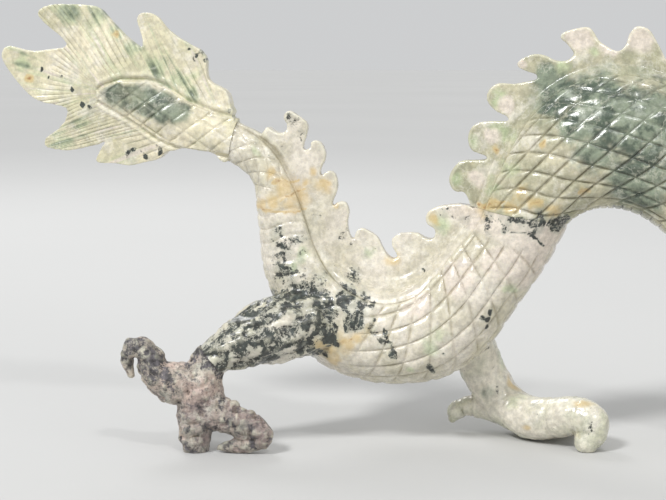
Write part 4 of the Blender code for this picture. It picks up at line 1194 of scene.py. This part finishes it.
def stone_look(pale, cloud, cut, fleck, streak, rough, dirt_and_shade, ash=0.0, swing=1.1):
    """One stone's own colours, how flecked and streaked it is, how dark its cuts and hollows are made (dirt
    and painted shade), its roughness and its ash grit.
    """
    return {"pale": pale, "cloud": cloud, "cut": cut, "fleck": fleck, "streak": streak, "rough": rough,
            "dirt_and_shade": dirt_and_shade, "ash": ash, "swing": swing}


FAN_LOOK = stone_look((0.87, 0.835, 0.73), (0.80, 0.78, 0.655), (0.62, 0.66, 0.46), 0.25, 1.0, 0.27, 0.5,
                      swing=0.5)
BODY_LOOK = stone_look((0.855, 0.825, 0.77), (0.775, 0.75, 0.665), (0.64, 0.60, 0.44), 0.3, 0.5, 0.24, 0.5)
ARCH_LOOK = stone_look((0.765, 0.74, 0.635), (0.635, 0.63, 0.525), (0.54, 0.51, 0.38), 0.35, 0.5, 0.19, 0.78)
FOOT_LOOK = stone_look((0.79, 0.705, 0.655), (0.58, 0.52, 0.50), (0.54, 0.50, 0.42), 1.15, 0.0, 0.52, 0.8,
                       ash=0.72)
LEG_LOOK = stone_look((0.85, 0.825, 0.765), (0.775, 0.775, 0.69), (0.60, 0.58, 0.44), 0.45, 0.9, 0.2, 0.6)
HORN_LOOK = stone_look((0.78, 0.77, 0.62), (0.62, 0.66, 0.46), (0.56, 0.56, 0.38), 0.2, 0.5, 0.24, 0.6)
# Small tints of the stone and the steel that go with every colour
GREEN_FLOWERS = linear((0.66, 0.69, 0.63))
VEIN_WHITE = linear((0.86, 0.85, 0.78))
SMOKE_GREY = linear((0.52, 0.55, 0.49))
# Cream that makes convex ridges lighter
RIDGE_CREAM = linear((0.88, 0.87, 0.78))
TARNISH_BROWN = linear((0.40, 0.35, 0.28))
# Stone rougher than this is matt and has no polish coat
MATT_FROM = 0.4
POLISH_COAT = 0.35
HARDSTONE = {
    "IOR": 1.56, "Coat Roughness": 0.12, "Subsurface Weight": 0.12, "Subsurface Radius": (1.0, 0.9, 0.6),
    "Subsurface Scale": 0.0018,
}


class Bench:
    """Adds and links nodes in one material."""

    def __init__(self, name):
        self.material = bpy.data.materials.new(name)
        self.material.use_nodes = True
        self.tree = self.material.node_tree
        self.shader = self.tree.nodes["Principled BSDF"]
        self.place = self.add("ShaderNodeTexCoord").outputs["Object"]

    def add(self, kind, inputs=None, **values):
        made = self.tree.nodes.new(kind)
        for key, value in values.items():
            setattr(made, key, value)
        for key, value in (inputs or {}).items():
            if isinstance(value, bpy.types.NodeSocket):
                self.tree.links.new(value, made.inputs[key])
            else:
                made.inputs[key].default_value = value
        return made

    def maths(self, operation, first, second=0.0, clamp=False):
        return self.add("ShaderNodeMath", {0: first, 1: second}, operation=operation,
                        use_clamp=clamp).outputs[0]

    def plus(self, first, second, clamp=False):
        return self.maths("ADD", first, second, clamp)

    def minus(self, first, second, clamp=False):
        return self.maths("SUBTRACT", first, second, clamp)

    def times(self, first, second):
        return self.maths("MULTIPLY", first, second)

    def off_half(self, value):
        """How far a value is from one half."""
        return self.maths("ABSOLUTE", self.minus(value, 0.5))

    def noise(self, scale, detail=4.0, rough=0.55, warp=0.0):
        """Noise from 0 to 1 through the stone, with this many lumps to the metre."""
        return self.add("ShaderNodeTexNoise", {
            "Vector": self.place, "Scale": scale, "Detail": detail, "Roughness": rough,
            "Distortion": warp}).outputs[0]

    def step(self, value, low, high, start=0.0, end=1.0):
        """A smooth step from start at low to end at high."""
        return self.add("ShaderNodeMapRange", {0: value, 1: low, 2: high, 3: start, 4: end},
                        interpolation_type="SMOOTHSTEP").outputs[0]

    def mix(self, share, first, second, blend="MIX"):
        made = self.add("ShaderNodeMix", {0: share, 6: first, 7: second}, data_type="RGBA", blend_type=blend)
        return made.outputs[2]

    def marks(self, label):
        """The three marks that the skin carries under one name."""
        store = self.add("ShaderNodeAttribute", attribute_name=label)
        parts = self.add("ShaderNodeSeparateXYZ", {0: store.outputs["Vector"]})
        return parts.outputs[0], parts.outputs[1], parts.outputs[2]

    def ragged(self, level, scale, low, high, swing, detail=7.0):
        """A stain's level broken up by noise and hardened to a ragged edge."""
        jitter = self.times(self.minus(self.noise(scale, detail, 0.62, 0.3), 0.5), swing)
        return self.step(self.plus(level, jitter), low, high)

    def link(self, value, socket):
        self.tree.links.new(value, self.shader.inputs[socket])


def blended(parts):
    """A mixed colour from rows of share and colour."""
    return [sum(share * colour[i] for share, colour in parts) for i in range(3)]


def ground_colours(bench, look, green, mint, pink):
    """Clouds, milk, mint, pink white and spinach green, with fine grain and ash."""
    tones = scene_settings()
    clouds = bench.step(bench.noise(48, 8, 0.66), 0.40, 0.62)
    colour = bench.mix(clouds, linear(look["pale"]), linear(look["cloud"]))
    milk = bench.step(bench.noise(150, 8, 0.68), 0.50, 0.64)
    colour = bench.mix(bench.times(milk, 0.6), colour, linear(tones.cream))
    mint_share = bench.times(bench.ragged(mint, 130, 0.5, 1.1, 1.0), 0.7)
    colour = bench.mix(mint_share, colour, linear(tones.mint))
    pink_share = bench.times(bench.ragged(pink, 100, 0.2, 0.7, 0.7), 0.85)
    colour = bench.mix(pink_share, colour, linear(tones.pink_white))
    clot = bench.step(bench.noise(165, 8, 0.66), 0.42, 0.58)
    pale_green = linear(blended(((0.48, tones.spinach), (0.27, tones.mint), (0.23, tones.cream))))
    deep = bench.mix(clot, linear(tones.spinach), pale_green)
    flowers = bench.step(bench.noise(120, 8, 0.68, 0.2), 0.52, 0.66, 0.0, 0.8)
    deep = bench.mix(flowers, deep, GREEN_FLOWERS)
    green_share = bench.times(bench.ragged(green, 150, 0.18, 0.72, look["swing"]), 0.95)
    colour = bench.mix(green_share, colour, deep)
    bright = bench.step(bench.noise(520, 6, 0.7), 0.35, 0.65, 0.80, 1.12)
    grain = bench.add("ShaderNodeCombineXYZ", {0: bright, 1: bright, 2: bright}).outputs[0]
    colour = bench.mix(1.0, colour, grain, "MULTIPLY")
    ash = bench.step(bench.noise(640, 9, 0.74, 0.2), 0.46, 0.60, 0.0, look["ash"])
    colour = bench.mix(ash, colour, linear([c * 1.5 for c in tones.ash_grey]))
    vein = bench.step(bench.off_half(bench.noise(60, 7, 0.62, 0.2)), 0.0, 0.014, 1.0, 0.0)
    return bench.mix(bench.times(vein, 0.3), colour, VEIN_WHITE)


def mineral_stains(bench, look, colour, iron, dark):
    """Ochre, rust, smoke and black over a colour; also says where the black is."""
    tones = scene_settings()
    ochre_share = bench.times(bench.ragged(iron, 230, 0.06, 0.60, 0.9), 0.66)
    colour = bench.mix(ochre_share, colour, linear(tones.ochre))
    iron_share = bench.times(bench.ragged(iron, 560, 0.68, 1.15, 1.3), 0.75)
    colour = bench.mix(iron_share, colour, linear(tones.iron))
    speck = bench.step(bench.noise(560, 4, 0.6), 0.685 - 0.03 * look["fleck"], 0.74)
    near_dark = bench.step(bench.plus(dark, bench.noise(90, 3)), 0.5, 0.95, 0.12 * look["fleck"], 1.0)
    speck = bench.times(speck, near_dark)
    grit = bench.times(bench.minus(bench.noise(1100, 4, 0.7), 0.5), 0.7)
    blot = bench.ragged(bench.plus(dark, grit), 330, 0.38, 0.56, 1.75, 9.0)
    crack = bench.off_half(bench.noise(140, 8, 0.68, 0.3))
    blot = bench.times(blot, bench.step(crack, 0.004, 0.02, 0.2, 1.0))
    smoke = bench.times(bench.ragged(dark, 200, 0.12, 0.62, 0.9), 0.45)
    colour = bench.mix(smoke, colour, SMOKE_GREY)
    soot = tones.ash_grey if look["ash"] else tones.black_green
    black = bench.mix(bench.step(bench.noise(520, 6, 0.7), 0.4, 0.66), linear(soot),
                      linear([c * 1.6 + 0.11 for c in soot]))
    dark_share = bench.maths("MAXIMUM", blot, bench.times(speck, 0.75))
    return bench.mix(bench.times(dark_share, 0.96), colour, black), blot


def net_grooves(bench):
    """The groove lines of the scale net that the skin carries: 1 in the middle of a groove."""
    first, second, net = bench.marks("grid")
    gap_a = bench.off_half(bench.maths("FRACT", first))
    gap_b = bench.off_half(bench.maths("FRACT", second))
    width = bench.times(bench.step(bench.noise(260, 3), 0.3, 0.7, 0.6, 1.3), 0.085)
    groove = bench.minus(1.0, bench.maths("DIVIDE", gap_a, width), True)
    cross = bench.times(bench.minus(1.0, bench.maths("DIVIDE", gap_b, width), True), 0.65)
    return bench.times(bench.maths("MAXIMUM", groove, cross), net)


def jade(name, look):
    """Polished hardstone: clouds, mint, spinach, iron and black stains, dirt and painted shade in the cuts
    and hollows, and lighter convex ridges.
    """
    bench = Bench(name + "_stone")
    green, dark, iron = bench.marks("zone")
    mint, pink, hollow = bench.marks("tone")
    colour = ground_colours(bench, look, green, mint, pink)
    colour, blot = mineral_stains(bench, look, colour, iron, dark)
    groove = net_grooves(bench)
    # Painted shade: the net's grooves and the skin's hollows are darkened towards the cut colour, partly as
    # dirt in the cuts and partly as painted shade
    shade = bench.step(hollow, 0.56, 0.9)
    dirt_and_shade = bench.maths("MAXIMUM", bench.times(groove, look["dirt_and_shade"]), bench.times(shade, look["dirt_and_shade"] * 1.1))
    dirt_and_shade = bench.times(dirt_and_shade, bench.step(bench.noise(95, 5), 0.32, 0.64, 0.2, 1.0))
    colour = bench.mix(dirt_and_shade, colour, bench.mix(1.0, colour, linear(look["cut"]), "MULTIPLY"))
    # Convex ridges, found from the skin's curvature, are made lighter with cream
    ridge_share = bench.step(hollow, 0.44, 0.12)
    bench.link(bench.mix(bench.times(ridge_share, 0.35), colour, RIDGE_CREAM), "Base Color")

    rough = bench.plus(look["rough"] + scene_settings().polish - USUAL_POLISH, bench.times(dirt_and_shade, 0.28))
    rough = bench.plus(rough, bench.step(bench.noise(190, 5), 0.35, 0.7, 0.0, 0.10), True)
    bench.link(rough, "Roughness")
    fine = bench.noise(900, 4, 0.6)
    scratch = bench.noise(2600, 2, 0.5)
    height = bench.plus(bench.times(groove, -0.8), bench.times(fine, 0.22 + look["rough"]))
    height = bench.plus(height, bench.times(scratch, 0.08 + 0.4 * look["rough"] ** 2))
    height = bench.plus(height, bench.times(blot, -0.10))
    depth = 0.00028 + 0.0006 * look["ash"]
    bump = bench.add("ShaderNodeBump", {"Strength": 0.8, "Distance": depth, "Height": height})
    bench.link(bump.outputs[0], "Normal")
    for socket, value in HARDSTONE.items():
        bench.shader.inputs[socket].default_value = value
    bench.shader.inputs["Coat Weight"].default_value = 0.0 if look["rough"] > MATT_FROM else POLISH_COAT
    return bench.material


def brushed_steel(name):
    """Steel brushed along the dowel, a little tarnished."""
    steel = scene_settings().steel
    bench = Bench(name + "_steel")
    long_way = bench.add("ShaderNodeMapping", {"Vector": bench.place, "Scale": (1.0, 1.0, 0.12)}).outputs[0]
    grain = bench.add("ShaderNodeTexNoise", {"Vector": long_way, "Scale": 2400.0, "Detail": 3.0}).outputs[0]
    tarnish = bench.step(bench.noise(320, 4), 0.45, 0.75)
    colour = bench.mix(grain, linear(steel), linear([c * 0.8 for c in steel]))
    bench.link(bench.mix(bench.times(tarnish, 0.3), colour, TARNISH_BROWN), "Base Color")
    bench.link(bench.step(grain, 0.3, 0.7, 0.28, 0.46), "Roughness")
    bump = bench.add("ShaderNodeBump", {"Strength": 0.3, "Distance": 0.00005, "Height": grain})
    bench.link(bump.outputs[0], "Normal")
    bench.shader.inputs["Metallic"].default_value = 1.0
    return bench.material


def floor_finish():
    """The plain pale floor, very slightly mottled."""
    tone = scene_settings().floor_colour
    bench = Bench("pale_floor")
    mottle = bench.step(bench.noise(1.2, 3), 0.3, 0.7)
    bench.link(bench.mix(mottle, linear(tone), linear([c * 0.985 for c in tone])), "Base Color")
    bench.link(bench.step(bench.noise(9, 3), 0.3, 0.7, 0.78, 0.84), "Roughness")
    return bench.material


def place_facing(name, data, away, spot=(0, 0, 0)):
    """Put a lamp or the camera in the scene, with its back to the away direction."""
    item = bpy.data.objects.new(name, data)
    item.location = spot
    item.rotation_mode = "QUATERNION"
    item.rotation_quaternion = away.to_track_quat("Z", "Y")
    bpy.context.scene.collection.objects.link(item)
    return item


def add_lamp(name, spot, aim, size, power):
    """A round soft lamp at a spot, turned to what it lights."""
    lamp = bpy.data.lights.new(name, "AREA")
    lamp.shape = "DISK"
    lamp.size = size
    lamp.energy = power * scene_settings().light_strength
    place_facing(name, lamp, spot - aim, spot)


def add_sun(name, away, spread, power):
    """A distant lamp, so the floor is lit evenly."""
    lamp = bpy.data.lights.new(name, "SUN")
    lamp.angle = math.radians(spread)
    lamp.energy = power * scene_settings().light_strength
    place_facing(name, lamp, Vector(away))


# Camera: what it looks at on the drawing, where it stands, and its lens
CAMERA_AIM = (101.56, 0.0, 57.71)
CAMERA_AZIMUTH = 8.0
CAMERA_ELEVATION = 7.0
CAMERA_DISTANCE = 0.450
CAMERA_LENS = 81.08
CAMERA_SENSOR = 36.0
CAMERA_CLIP = (0.01, 60.0)
# Half the floor's width, and how far it lies under the feet
FLOOR_HALF = 40.0
FLOOR_DROP = 0.0001


def set_stage():
    """The floor, the light all round, the lamps and the camera."""
    settings = scene_settings()
    ground = bmesh.new()
    bmesh.ops.create_grid(ground, x_segments=48, y_segments=48, size=FLOOR_HALF)
    for vert in ground.verts:
        vert.co.z = CAD_BOX[0][2] - FLOOR_DROP
    mesh = bpy.data.meshes.new("pale_floor")
    ground.to_mesh(mesh)
    ground.free()
    floor = bpy.data.objects.new("pale_floor", mesh)
    bpy.context.scene.collection.objects.link(floor)
    mesh.materials.append(floor_finish())

    world = bpy.data.worlds.new("soft_room")
    world.use_nodes = True
    back = world.node_tree.nodes["Background"]
    back.inputs["Color"].default_value = linear(settings.room_colour)
    back.inputs["Strength"].default_value = settings.room_strength
    bpy.context.scene.world = world
    bpy.context.scene.view_settings.view_transform = "Standard"

    target = Vector(drawn_to_frame(CAMERA_AIM))
    add_sun("key_sun", (-0.42, -0.62, 0.72), 11.0, 2.0)
    add_sun("fill_sun", (0.75, -0.55, 0.35), 40.0, 0.35)
    add_lamp("glint_lamp", target + Vector((0.30, -0.55, 0.75)), target + Vector((0.06, 0, 0.03)), 0.10, 1.6)
    add_lamp("rim_lamp", target + Vector((-0.5, 0.7, 0.8)), target, 0.5, 3.0)

    azimuth, elevation = math.radians(CAMERA_AZIMUTH), math.radians(CAMERA_ELEVATION)
    away = Vector((math.sin(azimuth) * math.cos(elevation), -math.cos(azimuth) * math.cos(elevation),
                   math.sin(elevation)))
    lens = bpy.data.cameras.new("camera")
    lens.sensor_width = CAMERA_SENSOR
    lens.lens = CAMERA_LENS
    lens.clip_start, lens.clip_end = CAMERA_CLIP
    bpy.context.scene.camera = place_facing("camera", lens, away, target + away * CAMERA_DISTANCE)


def small_length(name, description, default, lowest, highest):
    """A setting in metres."""
    return FloatProperty(name=name, description=description, default=default, min=lowest, max=highest,
                         precision=5, subtype="DISTANCE", unit="LENGTH")


def colour_setting(name, description, default):
    """A setting that is a colour."""
    return FloatVectorProperty(name=name, description=description, subtype="COLOR", default=default,
                               min=0.0, max=1.0)


class StoneDragonSettings(bpy.types.PropertyGroup):
    """Sizes and colours of the dragon and its stage"""

    seam_gap: small_length("Seam gap", "Open joint between two stones", USUAL_SEAM_GAP, 0.0, 0.001)
    scale_depth: small_length("Scale depth", "Depth of the cut net of scales", USUAL_SCALE_DEPTH, 0.0, 0.0012)
    grain: small_length("Skin grain", "Fineness of the carved skin", USUAL_GRAIN, 0.0003, 0.002)
    polish: FloatProperty(name="Polish", description="Roughness of the polished stone", default=USUAL_POLISH,
                          min=0.0, max=0.5, subtype="FACTOR")
    cream: colour_setting("Cream", "Milky clouds in the stone", (0.89, 0.87, 0.82))
    mint: colour_setting("Mint", "Light green parts of the stone", (0.68, 0.74, 0.58))
    spinach: colour_setting("Spinach", "Deep green parts of the stone", (0.235, 0.305, 0.25))
    pink_white: colour_setting("Pink white", "Pinkish white parts of the stone", (0.86, 0.815, 0.765))
    iron: colour_setting("Iron", "Rust stains in the stone", (0.56, 0.36, 0.17))
    ochre: colour_setting("Ochre", "Yellowish halo round the rust stains", (0.80, 0.69, 0.45))
    black_green: colour_setting("Black green", "Dark inclusions in the stone", (0.06, 0.085, 0.075))
    ash_grey: colour_setting("Ash grey", "Dark grit in the near hind foot", (0.185, 0.175, 0.185))
    steel: colour_setting("Steel", "Dowel steel", (0.72, 0.71, 0.69))
    floor_colour: colour_setting("Floor", "Floor colour", (0.775, 0.775, 0.77))
    room_colour: colour_setting("Room", "Colour of the light all round", (0.92, 0.925, 0.93))
    room_strength: FloatProperty(name="Room light", description="Strength of the light all round",
                                 default=0.74, min=0.0, max=3.0)
    light_strength: FloatProperty(name="Lamp strength", description="Strength of the lamps", default=1.0,
                                  min=0.0, max=10.0)


class STONEDRAGON_OT_stage(bpy.types.Operator):
    """Set out the floor, the room light, the lamps and the camera"""
    bl_idname = "stone_dragon.stage"
    bl_label = "Stage"

    def execute(self, context):
        set_stage()
        return {"FINISHED"}


class STONEDRAGON_OT_tail_fan(bpy.types.Operator):
    """Carve the flame-shaped tail fan"""
    bl_idname = "stone_dragon.tail_fan"
    bl_label = "Tail fan"

    def execute(self, context):
        carve_tail_fan()
        return {"FINISHED"}


class STONEDRAGON_OT_hind_body(bpy.types.Operator):
    """Carve the hind body with its crest and near thigh"""
    bl_idname = "stone_dragon.hind_body"
    bl_label = "Hind body"

    def execute(self, context):
        carve_hind_body()
        return {"FINISHED"}


class STONEDRAGON_OT_hind_limbs(bpy.types.Operator):
    """Carve the near hind foot and the far hind leg"""
    bl_idname = "stone_dragon.hind_limbs"
    bl_label = "Hind foot and leg"

    def execute(self, context):
        carve_foot("near_hind_foot", NEAR_HIND_PALM, NEAR_HIND_TOES, FOOT_LOOK, ROUGH_CARVING,
                   [ankle_cut(True)], 110, NEAR_HIND_WEB, NEAR_HIND_KNUCKLES)
        carve_foot("far_hind_leg", FAR_HIND_LEG, FAR_HIND_TOES, LEG_LOOK, SMOOTH_CARVING,
                   [seat_cut(FAR_HIND_LEG)], 120)
        return {"FINISHED"}


class STONEDRAGON_OT_mid_body(bpy.types.Operator):
    """Carve the arched middle of the body with its crest"""
    bl_idname = "stone_dragon.mid_body"
    bl_label = "Middle body"

    def execute(self, context):
        carve_mid_body()
        return {"FINISHED"}


class STONEDRAGON_OT_fore_body(bpy.types.Operator):
    """Carve the fore body with its crest and shoulders"""
    bl_idname = "stone_dragon.fore_body"
    bl_label = "Fore body"

    def execute(self, context):
        carve_fore_body()
        return {"FINISHED"}


class STONEDRAGON_OT_fore_legs(bpy.types.Operator):
    """Carve the two fore legs"""
    bl_idname = "stone_dragon.fore_legs"
    bl_label = "Fore legs"

    def execute(self, context):
        for name, (hand, step), seed in (("near_fore_leg", FORE_SIDES[0], 130),
                                         ("far_fore_leg", FORE_SIDES[1], 140)):
            leg, *toes = [[(x + step, y * hand, z, r) for x, y, z, r in rows]
                          for rows in [FORE_LEG] + FORE_TOES]
            carve_foot(name, leg, toes, LEG_LOOK, SMOOTH_CARVING, [seat_cut(leg)], seed)
        return {"FINISHED"}


class STONEDRAGON_OT_head(bpy.types.Operator):
    """Carve the head with its jaw, brows, eyes, locks and beard"""
    bl_idname = "stone_dragon.head"
    bl_label = "Head"

    def execute(self, context):
        carve_head()
        return {"FINISHED"}


class STONEDRAGON_OT_horns(bpy.types.Operator):
    """Carve the two horns"""
    bl_idname = "stone_dragon.horns"
    bl_label = "Horns"

    def execute(self, context):
        carve_horn("near_horn", -1)
        carve_horn("far_horn", 1)
        return {"FINISHED"}


class STONEDRAGON_OT_dowels(bpy.types.Operator):
    """Give the hidden dowels their brushed steel"""
    bl_idname = "stone_dragon.dowels"
    bl_label = "Dowels"

    def execute(self, context):
        for name in DOWELS:
            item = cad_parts[name]
            for slot in item.material_slots:
                slot.material = brushed_steel(name)
        return {"FINISHED"}


DOWELS = (
    "tail_fan_pin", "waist_pin_back", "waist_pin_belly", "chest_pin_back", "chest_pin_belly", "neck_pin",
    "near_hind_foot_pin", "far_hind_leg_pin", "near_fore_leg_pin", "far_fore_leg_pin", "near_horn_pin",
    "far_horn_pin",
)
OPERATORS = (
    STONEDRAGON_OT_stage, STONEDRAGON_OT_tail_fan, STONEDRAGON_OT_hind_body, STONEDRAGON_OT_hind_limbs,
    STONEDRAGON_OT_mid_body, STONEDRAGON_OT_fore_body, STONEDRAGON_OT_fore_legs, STONEDRAGON_OT_head,
    STONEDRAGON_OT_horns, STONEDRAGON_OT_dowels,
)


class STONEDRAGON_PT_panel(bpy.types.Panel):
    """Lists the dragon's pieces and settings"""
    bl_label = "Stone Dragon"
    bl_idname = "STONEDRAGON_PT_panel"
    bl_space_type = "VIEW_3D"
    bl_region_type = "UI"
    bl_category = "Stone Dragon"

    def draw(self, context):
        tones = context.scene.stone_dragon
        for label in StoneDragonSettings.__annotations__:
            self.layout.prop(tones, label)
        for operator in OPERATORS:
            self.layout.operator(operator.bl_idname)


CLASSES = (StoneDragonSettings, *OPERATORS, STONEDRAGON_PT_panel)


def register():
    for item in CLASSES:
        bpy.utils.register_class(item)
    bpy.types.Scene.stone_dragon = PointerProperty(type=StoneDragonSettings)


def unregister():
    del bpy.types.Scene.stone_dragon
    for item in reversed(CLASSES):
        bpy.utils.unregister_class(item)


def main():
    """Make the stage and every piece in order."""
    register()
    for operator in OPERATORS:
        family, label = operator.bl_idname.split(".")
        getattr(getattr(bpy.ops, family), label)()


if __name__ == "__main__":
    main()
